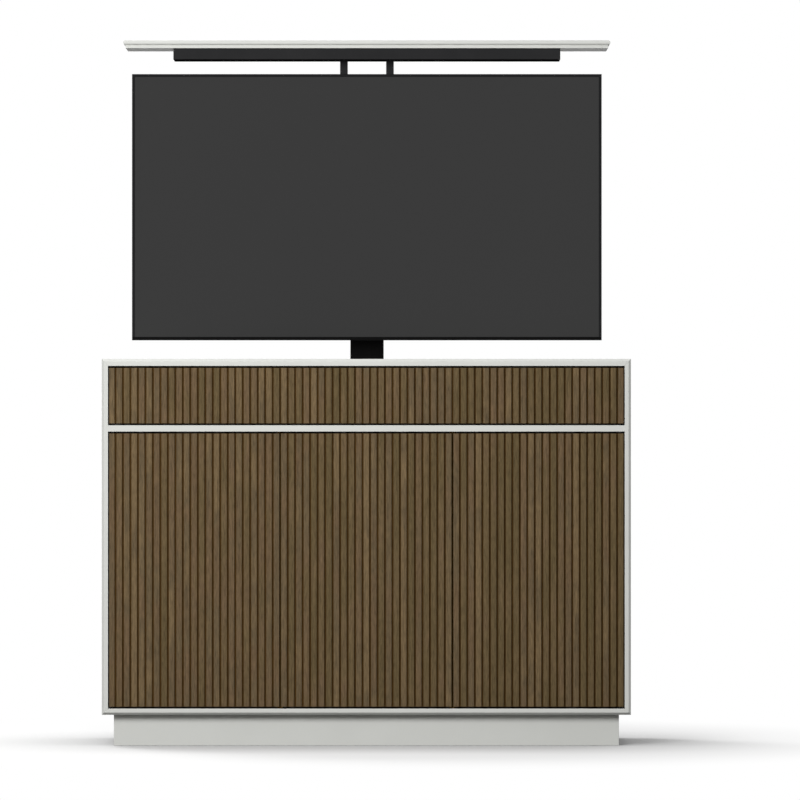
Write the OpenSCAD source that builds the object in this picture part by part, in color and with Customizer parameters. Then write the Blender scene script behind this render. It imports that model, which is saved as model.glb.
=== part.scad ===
// Cabinet with a motor-driven television lift, drawn with the lift fully raised.
// X is to the right, +Y is to the back, Z is up from the floor, sizes in millimetres.

/* [Cabinet] */
// overall width of the cabinet
cabinet_w = 1356; // [1330:1:1500]
// overall depth of the cabinet
cabinet_d = 460; // [455:1:520]
// height of the cabinet body above the plinth
carcass_h = 912; // [880:1:1000]
// height of the plinth
plinth_h = 80; // [60:1:120]
// how far the plinth stands back from the cabinet body
plinth_inset = 30; // [10:1:60]
// thickness of the plinth boards
plinth_t = 16; // [12:1:22]
// thickness of the side panels
side_t = 16; // [14:1:22]
// thickness of the top panel
top_t = 18; // [16:1:25]
// thickness of the bottom panel
bottom_t = 16; // [14:1:22]
// radius of the outer front edge of the cabinet body
edge_r = 6; // [2:0.5:10]
// thickness of the shelf whose edge is the middle rail
media_shelf_t = 16; // [14:1:22]
// height of the opening behind the flap
media_h = 152; // [130:1:180]
// thickness of the partitions behind the door seams
partition_t = 16; // [12:1:22]
// thickness of the wall between the storage and the television bay
bay_wall_t = 12; // [9:1:16]
// clear depth of the television bay
bay_d = 200; // [196:1:230]
// thickness of the back panel
back_t = 8; // [6:1:12]
// how far the back panel stands in from the back edges
back_recess = 6; // [2:1:12]
// width of the service opening in the back panel
service_w = 560; // [400:10:700]
// height of the service opening in the back panel
service_h = 470; // [300:10:500]
// corner radius of the service opening
service_r = 40; // [10:1:60]
// radius of a wall fixing hole in the back panel
wall_hole_r = 3; // [2:0.25:5]
// distance between the wall fixing holes
wall_hole_span = 900; // [600:10:1100]
// thickness of the loose shelves behind the doors
shelf_t = 16; // [12:1:22]

/* [Fronts] */
// thickness of a fluted front over its slats
front_t = 19; // [17:0.5:22]
// gap above and below each front
front_gap = 5; // [3:0.5:6]
// gap between a front and the side panel beside it
side_gap = 3; // [3:0.5:6]
// how far the fronts stand behind the front edges of the cabinet body
front_recess = 2; // [0:0.5:6]
// slats on one door
door_slats = 23; // [19:1:27]
// width of a groove between two slats, and of the seam between two doors
groove_w = 5; // [3:0.5:7]
// depth of a groove
groove_d = 6; // [4:0.5:8]
// chamfer on the edges of a slat
slat_edge = 0.8; // [0.4:0.1:1.5]
// radius of a pivot pin of a door or flap
pivot_r = 2.5; // [2:0.25:3]
// how far the pivot lies inside the hinge edge of a front
pivot_inset = 7; // [6.5:0.25:8]
// how far the pivot lies behind the face of a front
pivot_depth = 6; // [5:0.25:6]
// length of a pivot pin inside its front
pivot_grip = 10; // [8:0.5:11]
// radial running clearance of a pivot pin in its bush
pivot_play = 0.06; // [0.02:0.01:0.1]
// clearance between a partition and the hinge edge of a door that swings past it
swing_play = 1; // [0.5:0.1:3]
// how far the loose shelves stand behind the fronts
shelf_set = 16; // [10:1:30]

/* [Lid] */
// width of the top panel left at each end of the lid's cut-out
top_land = 49; // [40:1:80]
// room at each side between the television and the lid core
tv_side_room = 16.2; // [10:0.1:24]
// depth of the lid core, front to back
lid_core_d = 174; // [165:1:178]
// distance from the back panel to the lid's cut-out
lid_back_land = 10; // [6:1:16]
// thickness of the lid core
lid_core_t = 8; // [6:0.5:12]
// thickness of the lid board
lid_board_t = 12; // [10:0.5:18]
// overhang of the lid board past the lid core
lid_lip = 6; // [4:0.5:9]
// gap between the lid core and the edge of the top opening
lid_play = 2; // [1:0.5:3]
// gap left under the lid board when the lift is down
lid_seat_gap = 0.5; // [0.3:0.1:1]
// length of the steel channel under the lid
channel_l = 1006; // [800:1:1100]
// depth of the channel, front to back
channel_d = 127; // [120:1:140]
// height of the channel
channel_h = 29; // [22:1:36]
// sheet thickness of the channel
channel_t = 3; // [2:0.5:4]
// width of the channel's top lips
channel_lip = 16; // [14:1:24]
// how far the channel stands behind the front of the lid core
channel_set = 2; // [1:0.5:6]
// width of one lid arm
lid_arm_w = 20; // [15:1:24]
// thickness of one lid arm
lid_arm_t = 10; // [8:0.5:10]
// distance between the lid arms
lid_arm_span = 120; // [110:1:140]
// gap between the television and the channel
lid_arm_gap = 38; // [25:1:60]

/* [Television] */
// height of the visible screen
screen_h = 677.4; // [640:0.1:690]
// width of the frame around the screen
bezel_w = 7.5; // [4:0.5:9]
// depth of the frame around the screen
bezel_d = 12; // [10:0.5:14]
// thickness of the screen glass
glass_t = 3; // [2:0.25:4]
// how far the glass lies behind the front of its frame
glass_set = 0.6; // [0.2:0.1:1.5]
// depth of the flat back cover
cover_d = 8; // [6:0.5:10]
// depth of the raised housing on the back
housing_d = 20; // [16:0.5:24]
// wall thickness of the television's covers
cover_t = 2.5; // [2:0.25:3]
// pitch of the square fixing pattern on the television's back
vesa_pitch = 400; // [380:1:410]
// width of the raised housing on the back
housing_w = 900; // [700:1:1000]
// how far the raised housing reaches past the fixing points
housing_rim = 35; // [34:1:60]
// slope of the raised housing's sides
housing_slope = 12; // [6:1:20]

/* [Lift] */
// travel of each of the two moving stages
stage_travel = 408.5; // [380:0.5:415]
// width of the middle column tube
middle_w = 87; // [80:1:96]
// depth of the middle column tube
middle_d = 60; // [58:1:62]
// wall thickness of the column tubes
tube_t = 3; // [2:0.25:3.5]
// corner radius of the middle column tube
tube_r = 8; // [6:0.5:10]
// gap between two nested column tubes
stage_gap = 4; // [3.5:0.25:4.5]
// running gap between a glide pad and the tube that slides on it
glide_play = 0.3; // [0.2:0.05:0.5]
// length of a glide pad
glide_l = 56; // [40:1:58]
// distance from a tube's end to its glide pads
glide_inset = 4; // [2:0.5:8]
// space between the glide pads in the outer tube and those under them when the lift is up
outer_space = 22; // [4:1:30]
// space between the glide pads in the middle tube and those under them when the lift is up
middle_space = 7; // [4:1:14]
// free height under the middle tube when the lift is down
stage_step = 10; // [6:1:16]
// height of a collar at the top of a column tube
collar_h = 8; // [6:1:10]
// distance from the outer column to the mount plate in front of it
plate_gap = 4; // [3:0.25:6]
// thickness of the folded mount plate
plate_t = 3; // [2:0.25:4]
// width of the mount plate
plate_w = 180; // [165:1:200]
// height of the base plate's steel
base_t = 5; // [4:0.5:8]
// height of the gearbox
gear_h = 70; // [66:1:80]
// radius of the motor
motor_r = 24; // [20:0.5:28]
// length of the motor
motor_l = 120; // [90:1:150]
// distance from the column's middle to each of its two drive shafts
shaft_x = 16; // [15:0.5:17]
// radius of the threaded spindles
spindle_r = 8; // [7:0.25:9]
// width of the square drive bar
bar_w = 7; // [6:0.25:8]
// running clearance of the spindles in their nuts
nut_play = 0.3; // [0.2:0.05:0.5]
// radial running clearance of the shafts in their bearings
bearing_play = 0.05; // [0.02:0.01:0.1]
// height of the end blocks in the column tubes
block_h = 30; // [26:1:34]
// space between the middle and inner end blocks when the lift is down
block_space = 5; // [3:0.5:8]
// distance from the back panel to the outer column
column_set = 38; // [32:1:40]
// width of the base plate
base_w = 260; // [220:1:300]
// depth of the base plate
base_d = 150; // [140:1:150]
// corner radius of the base plate
base_r = 12; // [6:1:20]
// half the width of the wall bracket
bracket_half = 92; // [85:1:110]
// height of the wall bracket
bracket_h = 60; // [50:1:80]
// distance of the wall bracket's top below the collar of the outer column
bracket_drop = 30; // [10:1:60]
// width of the control box
control_w = 170; // [140:1:200]
// depth of the control box
control_d = 76; // [60:1:76]
// height of the control box
control_h = 38; // [34:1:50]
// distance from the column's middle to the control box's middle
control_x = 310; // [250:1:360]

/* [Mount] */
// length of the cross rails
rail_l = 500; // [460:1:560]
// height of a cross rail
rail_h = 36; // [30:1:40]
// depth of a cross rail
rail_d = 7; // [6:0.5:7]
// distance from the television's fixing points in to the cross rails
rail_drop = 110; // [104:1:130]
// width of an upright bracket
bracket_w = 34; // [28:1:40]
// depth of an upright bracket
bracket_d = 8; // [7.5:0.25:9]
// how far the upright brackets reach past the fixing points
bracket_tail = 30; // [20:1:34]
// sheet thickness of the rails and brackets
rail_t = 2.5; // [2:0.25:3]
// distance from the lower rail to the foot of the mount plate
plate_tail = 38; // [20:1:60]
// depth of the mount plate's side folds
plate_fold = 28; // [20:1:36]
// length of a lid arm on the mount plate
arm_grip = 76; // [70:1:80]
// width of a lid arm's foot
foot_w = 40; // [34:1:46]
// depth of a lid arm's foot
foot_d = 52; // [46:1:60]
// thickness of a lid arm's foot
foot_t = 4; // [3:0.5:6]
// distance of a foot's bolts from the arm's middle
foot_bolt = 16; // [14:0.5:19]
// distance of the rail bolts from the column's middle
rail_bolt = 66; // [62:1:72]
// radius of the mount's bolts
bolt_r = 3; // [2.5:0.25:3.5]

/* [Hidden] */
$fn = 40;
eps = 0.01;

// main heights
cabinet_h = plinth_h + carcass_h;
floor_z = plinth_h + bottom_t;
ceiling_z = cabinet_h - top_t;
media_z = ceiling_z - media_h;
bay_top_z = media_z - media_shelf_t;
lid_z = cabinet_h + 2 * stage_travel + lid_seat_gap;
core_z = lid_z - lid_core_t;
channel_z = core_z - channel_h;
tv_h = screen_h + 2 * bezel_w;
tv_top_z = channel_z - lid_arm_gap;
tv_z = tv_top_z - tv_h / 2;

// main depths
front_y = -cabinet_d / 2;
back_y = cabinet_d / 2 - back_recess;
bay_back_y = back_y - back_t;
bay_front_y = bay_back_y - bay_d;
bay_wall_y = bay_front_y - bay_wall_t;
face_y = front_y + front_recess;
inner_w = cabinet_w - 2 * side_t;
opening_w = cabinet_w - 2 * top_land;
opening_d = lid_core_d + 2 * lid_play;
opening_y = bay_back_y - lid_back_land - opening_d;
core_w = opening_w - 2 * lid_play;
core_y = opening_y + lid_play;
tv_w = core_w - 2 * tv_side_room;
screen_w = tv_w - 2 * bezel_w;
channel_y = core_y + channel_set;

// column sizes, from the middle tube outwards and inwards
outer_w = middle_w + 2 * (stage_gap + tube_t);
outer_d = middle_d + 2 * (stage_gap + tube_t);
outer_r = tube_r + stage_gap;
small_w = middle_w - 2 * (stage_gap + tube_t);
small_d = middle_d - 2 * (stage_gap + tube_t);
small_r = tube_r - tube_t;
column_y = bay_back_y - column_set - outer_d / 2;
plate_y = column_y - outer_d / 2 - plate_gap - plate_t;
tv_back_y = plate_y - rail_d - bracket_d;
tv_front_y = tv_back_y - housing_d - cover_d - bezel_d;
arm_y = plate_y - lid_arm_t;

// column heights, with the lift raised
gear_z = floor_z + base_t;
glide_t = stage_gap - glide_play;
glide_pair = 2 * (glide_l + glide_inset);
outer_z = gear_z + gear_h;
motor_z = gear_z + 10 + motor_r;
motor_x = outer_w / 2 + 10;
middle_z = outer_z + stage_step + stage_travel;
outer_top = middle_z + glide_pair + outer_space;
small_z = middle_z + block_h + block_space + stage_travel;
middle_top = small_z + glide_pair + middle_space;
small_top = tv_z + vesa_pitch / 2;
rail_z = [tv_z - vesa_pitch / 2 + rail_drop, tv_z + vesa_pitch / 2 - rail_drop];
plate_z = rail_z[0] - rail_h / 2 - plate_tail;
arm_z = small_top - arm_grip;

// fluted fronts
slat_count = 3 * door_slats;
slat_pitch = inner_w / slat_count;
left_seam = -inner_w / 2 + door_slats * slat_pitch;
right_seam = inner_w / 2 - door_slats * slat_pitch;
door_z = floor_z + front_gap;
door_h = bay_top_z - floor_z - 2 * front_gap;
flap_z = media_z + front_gap;
flap_h = media_h - 2 * front_gap;
fronts_x = inner_w / 2 - side_gap;
pivot_y = face_y + pivot_depth;
partition_y = pivot_y + norm([pivot_inset, front_t - pivot_depth]) + swing_play;
left_pivot_x = pivot_inset - fronts_x;
centre_pivot_x = left_seam + groove_w / 2 + pivot_inset;
right_pivot_x = -left_pivot_x;
flap_pivot_z = flap_z + pivot_inset;
bush_r = pivot_r + 2.5;
bush_l = 9;
bush_flange = 1;

// drive
journal_r = spindle_r - 1;
lower_top = middle_z + block_h + 20;
upper_top = small_z + block_h + 15;
nut_r = 13.5;
fit = 0.05;

// fixing points
base_bolts = [for (x = [-1, 1], y = [-1, 1]) [x * (base_w / 2 - 20), column_y + y * (base_d / 2 - 18)]];
bracket_z = outer_top - bracket_drop - bracket_h;
bracket_screws = [for (x = [-1, 1], z = [-1, 1])
  [x * (bracket_half - 18), bracket_z + bracket_h / 2 + z * (bracket_h / 2 - 12)]];
vesa_points = [for (x = [-1, 1], z = [-1, 1]) [x * vesa_pitch / 2, tv_z + z * vesa_pitch / 2]];
rail_points = [for (x = [-1, 1], z = rail_z) [x * rail_bolt, z]];
arm_points = [for (x = [-1, 1], z = [18, arm_grip - 24]) [x * lid_arm_span / 2, arm_z + z]];
head_points = [for (x = [-1, 1], y = [-1, 1]) [x * 20, column_y + y * 9]];
lid_points = [for (x = [-1, -0.34, 0.34, 1], y = [0, 1])
  [x * (channel_l / 2 - 40), channel_y + channel_t + 8 + y * (channel_d - 2 * channel_t - 16)]];
foot_points = [for (s = [-1, 1], y = [-1, 1]) [s * lid_arm_span / 2, arm_y + lid_arm_t / 2 + y * foot_bolt]];
shelf_bays = [[-inner_w / 2, left_seam - partition_t / 2],
  [left_seam + partition_t / 2, right_seam - partition_t / 2],
  [right_seam + partition_t / 2, inner_w / 2]];
shelf_z = floor_z + (bay_top_z - floor_z) / 2;
shelf_front = face_y + front_t + shelf_set;
pin_r = 2.5;
pin_reach = 8;

// points along a circle from one angle to another
function arc(cx, cy, r, a, b, n = 6) = [for (i = [0:n])
  [cx + r * cos(a + (b - a) * i / n), cy + r * sin(a + (b - a) * i / n)]];

// outline of a rectangle with rounded corners, about the origin
function round_rect(w, d, r) = concat(
  arc(w / 2 - r, d / 2 - r, r, 0, 90),
  arc(r - w / 2, d / 2 - r, r, 90, 180),
  arc(r - w / 2, r - d / 2, r, 180, 270),
  arc(w / 2 - r, r - d / 2, r, 270, 360));

// one groove of a fluted front, cut from its face at y = 0
function groove(c) = [
  [c - groove_w / 2 - slat_edge, 0], [c - groove_w / 2, slat_edge], [c - groove_w / 2, groove_d],
  [c + groove_w / 2, groove_d], [c + groove_w / 2, slat_edge], [c + groove_w / 2 + slat_edge, 0]];

// a rectangular tube standing on z0
module tube(w, d, r, z0, z1) {
  translate([0, column_y, z0])
    linear_extrude(z1 - z0)
      difference() {
        polygon(round_rect(w, d, r));
        polygon(round_rect(w - 2 * tube_t, d - 2 * tube_t, r - tube_t));
      }
}

// a board of the cabinet body with a rounded outer front edge and mitred ends,
// lying along X with its inner face at z = 0
module rim_board(length, t, mitre_a, mitre_b) {
  intersection() {
    translate([-length / 2, 0, 0])
      rotate([90, 0, 90])
        linear_extrude(length)
          polygon(concat([[cabinet_d / 2, 0], [cabinet_d / 2, t]],
            arc(front_y + edge_r, t - edge_r, edge_r, 90, 180), [[front_y, 0]]));
    translate([0, cabinet_d / 2 + 1, 0])
      rotate([90, 0, 0])
        linear_extrude(cabinet_d + 2)
          polygon([[mitre_a - length / 2, 0], [length / 2 - mitre_b, 0],
            [length / 2, t], [-length / 2, t]]);
  }
}

// a box from its low corner to its high corner
module block(low, high) {
  translate(low)
    cube(high - low);
}

// a cylinder along Y from y0 to y1
module rod_y(x, z, r, y0, y1) {
  translate([x, y1, z])
    rotate([90, 0, 0])
      cylinder(r = r, h = y1 - y0);
}

// a cylinder along Z from z0 to z1
module rod_z(x, y, r, z0, z1) {
  translate([x, y, z0])
    cylinder(r = r, h = z1 - z0);
}

// a cylinder along X from x0 to x1
module rod_x(y, z, r, x0, x1) {
  translate([x0, y, z])
    rotate([0, 90, 0])
      cylinder(r = r, h = x1 - x0);
}

// four glide pads round a rectangle of a column tube's size
module pads(w, d, r, z0) {
  for (s = [-1, 1]) {
    translate([s * (w + glide_t) / 2, column_y, z0 + glide_l / 2])
      cube([glide_t, d - 2 * r - 4, glide_l], center = true);
    translate([0, column_y + s * (d + glide_t) / 2, z0 + glide_l / 2])
      cube([w - 2 * r - 4, glide_t, glide_l], center = true);
  }
}

// holes for the pivot bushes of the doors and the flap
module door_bush_holes(z, way) {
  for (x = [left_pivot_x, centre_pivot_x, right_pivot_x])
    rod_z(x, pivot_y, bush_r + fit, way > 0 ? z - eps : z - bush_l, way > 0 ? z + bush_l : z + eps);
}

// a side panel with its bush hole and shelf pin holes, on the right
module side_panel() {
  difference() {
    translate([inner_w / 2, 0, plinth_h + carcass_h / 2])
      rotate([0, 90, 0])
        rim_board(carcass_h, side_t, top_t, bottom_t);
    rod_x(pivot_y, flap_pivot_z, bush_r + fit, inner_w / 2 - eps, inner_w / 2 + bush_l);
    for (y = pin_rows())
      rod_x(y, shelf_z - pin_r, pin_r + fit, inner_w / 2 - eps, inner_w / 2 + pin_reach);
  }
}

// depths of the two rows of shelf pins
function pin_rows() = [shelf_front + 30, bay_wall_y - 30];

module left_side_panel() {
  color("white")
    mirror([1, 0, 0])
      side_panel();
}

module right_side_panel() {
  color("white")
    side_panel();
}

module top_panel() {
  color("white")
    difference() {
      translate([0, 0, ceiling_z])
        rim_board(cabinet_w, top_t, side_t, side_t);
      block([-opening_w / 2, opening_y, ceiling_z - 1],
        [opening_w / 2, opening_y + opening_d, cabinet_h + 1]);
    }
}

module bottom_panel() {
  color("white")
    difference() {
      translate([0, 0, floor_z])
        mirror([0, 0, 1])
          rim_board(cabinet_w, bottom_t, side_t, side_t);
      door_bush_holes(floor_z, -1);
      for (p = base_bolts)
        rod_z(p[0], p[1], 4 + fit, floor_z - 12, floor_z + eps);
    }
}

module media_shelf() {
  color("white")
    difference() {
      block([-inner_w / 2, front_y, bay_top_z], [inner_w / 2, bay_wall_y, media_z]);
      door_bush_holes(bay_top_z, 1);
    }
}

// a partition behind a door seam, with pin holes for the shelf at each side
module partition(x) {
  difference() {
    block([x - partition_t / 2, partition_y, floor_z], [x + partition_t / 2, bay_wall_y, bay_top_z]);
    for (y = pin_rows())
      rod_x(y, shelf_z - pin_r, pin_r + fit, x - partition_t, x + partition_t);
  }
}

module left_partition() {
  color("white")
    partition(left_seam);
}

module right_partition() {
  color("white")
    partition(right_seam);
}

module bay_wall() {
  color("white")
    block([-inner_w / 2, bay_wall_y, floor_z], [inner_w / 2, bay_front_y, ceiling_z]);
}

module back_panel() {
  color("white")
    difference() {
      block([-inner_w / 2, bay_back_y, floor_z], [inner_w / 2, back_y, ceiling_z]);
      translate([0, back_y + 1, floor_z + 40 + service_h / 2])
        rotate([90, 0, 0])
          linear_extrude(back_t + 2)
            polygon(round_rect(service_w, service_h, service_r));
      for (x = [-1, 1])
        rod_y(x * wall_hole_span / 2, ceiling_z - 40, wall_hole_r, bay_back_y - 1, back_y + 1);
      for (p = bracket_screws)
        rod_y(p[0], p[1], 2 + fit, bay_back_y - eps, bay_back_y + 6);
      for (s = [-1, 1], i = [0:9])
        translate([s * (inner_w / 2 - 110 - 22 * i), bay_back_y - 1, ceiling_z - 190])
          cube([8, back_t + 2, 90]);
    }
}

module plinth_front() {
  color("white")
    block([plinth_inset - cabinet_w / 2, front_y + plinth_inset, 0],
      [cabinet_w / 2 - plinth_inset, front_y + plinth_inset + plinth_t, plinth_h]);
}

module plinth_back() {
  color("white")
    block([plinth_inset - cabinet_w / 2, cabinet_d / 2 - plinth_inset - plinth_t, 0],
      [cabinet_w / 2 - plinth_inset, cabinet_d / 2 - plinth_inset, plinth_h]);
}

module plinth_sides() {
  color("white")
    for (s = [0, 1])
      mirror([s, 0, 0])
        block([cabinet_w / 2 - plinth_inset - plinth_t, front_y + plinth_inset + plinth_t, 0],
          [cabinet_w / 2 - plinth_inset, cabinet_d / 2 - plinth_inset - plinth_t, plinth_h]);
}

module storage_shelves() {
  color("white")
    for (b = shelf_bays)
      block([b[0] + 1, shelf_front, shelf_z], [b[1] - 1, bay_wall_y - 2, shelf_z + shelf_t]);
}

module shelf_pins() {
  color("silver")
    for (y = pin_rows()) {
      rod_x(y, shelf_z - pin_r, pin_r, -inner_w / 2 - pin_reach + 1, -inner_w / 2 + pin_reach);
      rod_x(y, shelf_z - pin_r, pin_r, inner_w / 2 - pin_reach, inner_w / 2 + pin_reach - 1);
      for (x = [left_seam, right_seam])
        rod_x(y, shelf_z - pin_r, pin_r,
          x - partition_t / 2 - pin_reach, x + partition_t / 2 + pin_reach);
    }
}

// a flanged bush with its mouth at z = 0, reaching down into a board
module bush() {
  difference() {
    union() {
      translate([0, 0, -bush_l + 1])
        cylinder(r = bush_r, h = bush_l - 1);
      cylinder(r = bush_r + 1.5, h = bush_flange);
    }
    translate([0, 0, -bush_l + 2])
      cylinder(r = pivot_r + pivot_play, h = bush_l + bush_flange);
  }
}

module pivot_bushes() {
  color("gray") {
    for (x = [left_pivot_x, centre_pivot_x, right_pivot_x]) {
      translate([x, pivot_y, floor_z])
        bush();
      translate([x, pivot_y, bay_top_z])
        rotate([180, 0, 0])
          bush();
    }
    for (s = [-1, 1])
      translate([s * inner_w / 2, pivot_y, flap_pivot_z])
        rotate([0, -90 * s, 0])
          bush();
  }
}

// a fluted front from x0 to x1 with grooves number first to last between its ends
module fluted_front(x0, x1, first, last, z, h) {
  translate([0, face_y, z])
    linear_extrude(h)
      polygon(concat([[x0, front_t], [x0, slat_edge], [x0 + slat_edge, 0]],
        [for (k = [first:last]) each groove(k * slat_pitch - inner_w / 2)],
        [[x1 - slat_edge, 0], [x1, slat_edge], [x1, front_t]]));
}

// bores for the pivot pins in the top and bottom edges of a door
module door_bores(x) {
  rod_z(x, pivot_y, pivot_r + fit, door_z - 1, door_z + pivot_grip);
  rod_z(x, pivot_y, pivot_r + fit, door_z + door_h - pivot_grip, door_z + door_h + 1);
}

module left_door() {
  color("saddlebrown")
    difference() {
      fluted_front(-fronts_x, left_seam - groove_w / 2,
        1, door_slats - 1, door_z, door_h);
      door_bores(left_pivot_x);
    }
}

module centre_door() {
  color("saddlebrown")
    difference() {
      fluted_front(left_seam + groove_w / 2, right_seam - groove_w / 2,
        door_slats + 1, 2 * door_slats - 1, door_z, door_h);
      door_bores(centre_pivot_x);
    }
}

module right_door() {
  color("saddlebrown")
    difference() {
      fluted_front(right_seam + groove_w / 2, fronts_x,
        2 * door_slats + 1, slat_count - 1, door_z, door_h);
      door_bores(right_pivot_x);
    }
}

module flap() {
  color("saddlebrown")
    difference() {
      fluted_front(-fronts_x, fronts_x, 1, slat_count - 1, flap_z, flap_h);
      for (s = [0, 1])
        mirror([s, 0, 0])
          rod_x(pivot_y, flap_pivot_z, pivot_r + fit, fronts_x - pivot_grip, fronts_x + 1);
    }
}

// the two pivot pins of a door
module door_pins(x) {
  rod_z(x, pivot_y, pivot_r, floor_z - bush_l + 3, door_z + pivot_grip - 0.5);
  rod_z(x, pivot_y, pivot_r, door_z + door_h - pivot_grip + 0.5, bay_top_z + bush_l - 3);
}

module left_door_pins() {
  color("silver")
    door_pins(left_pivot_x);
}

module centre_door_pins() {
  color("silver")
    door_pins(centre_pivot_x);
}

module right_door_pins() {
  color("silver")
    door_pins(right_pivot_x);
}

module flap_pins() {
  color("silver")
    for (s = [0, 1])
      mirror([s, 0, 0])
        rod_x(pivot_y, flap_pivot_z, pivot_r, fronts_x - pivot_grip + 0.5, inner_w / 2 + bush_l - 3);
}

module base_plate() {
  color("dimgray")
    difference() {
      translate([0, column_y, floor_z])
        linear_extrude(base_t)
          polygon(round_rect(base_w, base_d, base_r));
      for (p = base_bolts)
        rod_z(p[0], p[1], 4 + fit, floor_z - 1, gear_z + 1);
    }
}

// hexagon bolts in the base plate and pan head screws in the wall bracket
module lift_bolts() {
  color("silver") {
    for (p = base_bolts) {
      rod_z(p[0], p[1], 4, floor_z - 11, gear_z + 0.5);
      translate([p[0], p[1], gear_z])
        cylinder(r = 7.5, h = 5.3, $fn = 6);
    }
    for (p = bracket_screws) {
      rod_y(p[0], p[1], 2, bay_back_y - plate_t - 0.5, bay_back_y + 5);
      rod_y(p[0], p[1], 4, bay_back_y - plate_t - 2.5, bay_back_y - plate_t);
    }
  }
}

// a ribbed housing with the worm drive closed inside it
module gearbox() {
  color("dimgray")
    difference() {
      union() {
        translate([0, column_y, gear_z])
          linear_extrude(gear_h)
            polygon(round_rect(outer_w, outer_d, outer_r));
        translate([0, column_y, gear_z])
          linear_extrude(8)
            polygon(round_rect(outer_w + 28, outer_d + 20, outer_r));
        rod_x(column_y, motor_z, motor_r + 4, 0, motor_x);
      }
      for (s = [-1, 1]) {
        rod_z(s * shaft_x, column_y, journal_r + 2, gear_z + 20, outer_z + 1);
        rod_z(s * shaft_x, column_y, nut_r + fit, outer_z - 10, outer_z + 1);
      }
      for (s = [-1, 1], i = [0:3])
        translate([-30 + 20 * i, column_y + s * outer_d / 2, gear_z + 12])
          translate([-4, -2, 0])
            cube([8, 4, gear_h - 22]);
    }
}

module motor() {
  color("black") {
    rod_x(column_y, motor_z, motor_r, motor_x, motor_x + motor_l);
    rod_x(column_y, motor_z, motor_r - 3, motor_x + motor_l, motor_x + motor_l + 8);
    rod_x(column_y, motor_z, 6, motor_x + motor_l + 8, motor_x + motor_l + 12);
  }
}

// the two flanged bearings that carry the lower spindle and the drive bar
module shaft_bearings() {
  color("silver")
    for (s = [-1, 1])
      difference() {
        rod_z(s * shaft_x, column_y, nut_r, outer_z - 10, outer_z);
        rod_z(s * shaft_x, column_y, journal_r + bearing_play, outer_z - 11, outer_z + 1);
      }
}

module outer_column() {
  color("dimgray")
    tube(outer_w, outer_d, outer_r, outer_z, outer_top);
}

// a plastic collar that closes the gap at the top of a column tube
module collar(w, d, r, z) {
  translate([0, column_y, z])
    linear_extrude(collar_h)
      difference() {
        polygon(round_rect(w + 2, d + 2, r + 1));
        polygon(round_rect(w - 2 * (tube_t + stage_gap) + 1, d - 2 * (tube_t + stage_gap) + 1,
          r - stage_gap));
      }
}

module outer_collar() {
  color("black")
    collar(outer_w, outer_d, outer_r, outer_top);
}

// pads at the top of the outer tube that guide the middle tube
module outer_glides() {
  color("white")
    pads(outer_w - 2 * (tube_t + glide_t), outer_d - 2 * (tube_t + glide_t), tube_r,
      outer_top - glide_l - glide_inset);
}

// a folded bracket that ties the outer tube to the back panel
module wall_bracket() {
  color("dimgray")
    difference() {
      union() {
        block([-bracket_half, bay_back_y - plate_t, bracket_z],
          [bracket_half, bay_back_y, bracket_z + bracket_h]);
        for (s = [0, 1])
          mirror([s, 0, 0])
            block([outer_w / 2, column_y - 12, bracket_z],
              [outer_w / 2 + plate_t, bay_back_y - plate_t, bracket_z + bracket_h]);
      }
      for (p = bracket_screws)
        rod_y(p[0], p[1], 2 + fit, bay_back_y - plate_t - 1, bay_back_y + 1);
    }
}

// the drive's control box with its recessed sockets and mains inlet
module control_box() {
  color("black")
    difference() {
      translate([-control_x, column_y, floor_z])
        linear_extrude(control_h)
          polygon(round_rect(control_w, control_d, 6));
      for (i = [0:2])
        translate([-control_x - control_w / 2 + 12 + 24 * i, column_y + control_d / 2 - 8, floor_z + 10])
          cube([16, 9, 13]);
      translate([-control_x + 12, column_y + control_d / 2 - 10, floor_z + 7])
        cube([28, 11, 20]);
    }
}

module lower_spindle() {
  color("silver") {
    rod_z(-shaft_x, column_y, journal_r, gear_z + 22, outer_z + 6);
    rod_z(-shaft_x, column_y, spindle_r, outer_z + 6, lower_top);
  }
}

// a square bar that turns the upper spindle while that spindle rides up it
module drive_bar() {
  color("silver") {
    rod_z(shaft_x, column_y, journal_r, gear_z + 22, outer_z + 6);
    block([shaft_x - bar_w / 2, column_y - bar_w / 2, outer_z + 6],
      [shaft_x + bar_w / 2, column_y + bar_w / 2, lower_top]);
  }
}

module middle_column() {
  color("dimgray")
    tube(middle_w, middle_d, tube_r, middle_z, middle_top);
}

module middle_collar() {
  color("black")
    collar(middle_w, middle_d, tube_r, middle_top);
}

// pads at the foot of the middle tube, and inside its top
module middle_glides() {
  color("white") {
    pads(middle_w, middle_d, tube_r, middle_z + glide_inset);
    pads(middle_w - 2 * (tube_t + glide_t), middle_d - 2 * (tube_t + glide_t), small_r,
      middle_top - glide_l - glide_inset);
  }
}

// the block at the foot of the middle tube that holds the lower nut and the upper spindle
module middle_block() {
  color("silver")
    difference() {
      translate([0, column_y, middle_z])
        linear_extrude(block_h)
          polygon(round_rect(middle_w - 2 * tube_t, middle_d - 2 * tube_t, tube_r - tube_t));
      rod_z(-shaft_x, column_y, nut_r + fit, middle_z - 1, middle_z + block_h + 1);
      rod_z(shaft_x, column_y, nut_r + fit, middle_z + 10, middle_z + block_h + 1);
      rod_z(shaft_x, column_y, journal_r + 1, middle_z - 1, middle_z + 11);
    }
}

module lower_nut() {
  color("gold")
    difference() {
      rod_z(-shaft_x, column_y, nut_r, middle_z, middle_z + block_h);
      rod_z(-shaft_x, column_y, spindle_r + nut_play, middle_z - 1, middle_z + block_h + 1);
    }
}

module upper_bearing() {
  color("silver")
    difference() {
      rod_z(shaft_x, column_y, nut_r, middle_z + 10, middle_z + block_h);
      rod_z(shaft_x, column_y, journal_r + bearing_play, middle_z + 9, middle_z + block_h + 1);
    }
}

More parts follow.
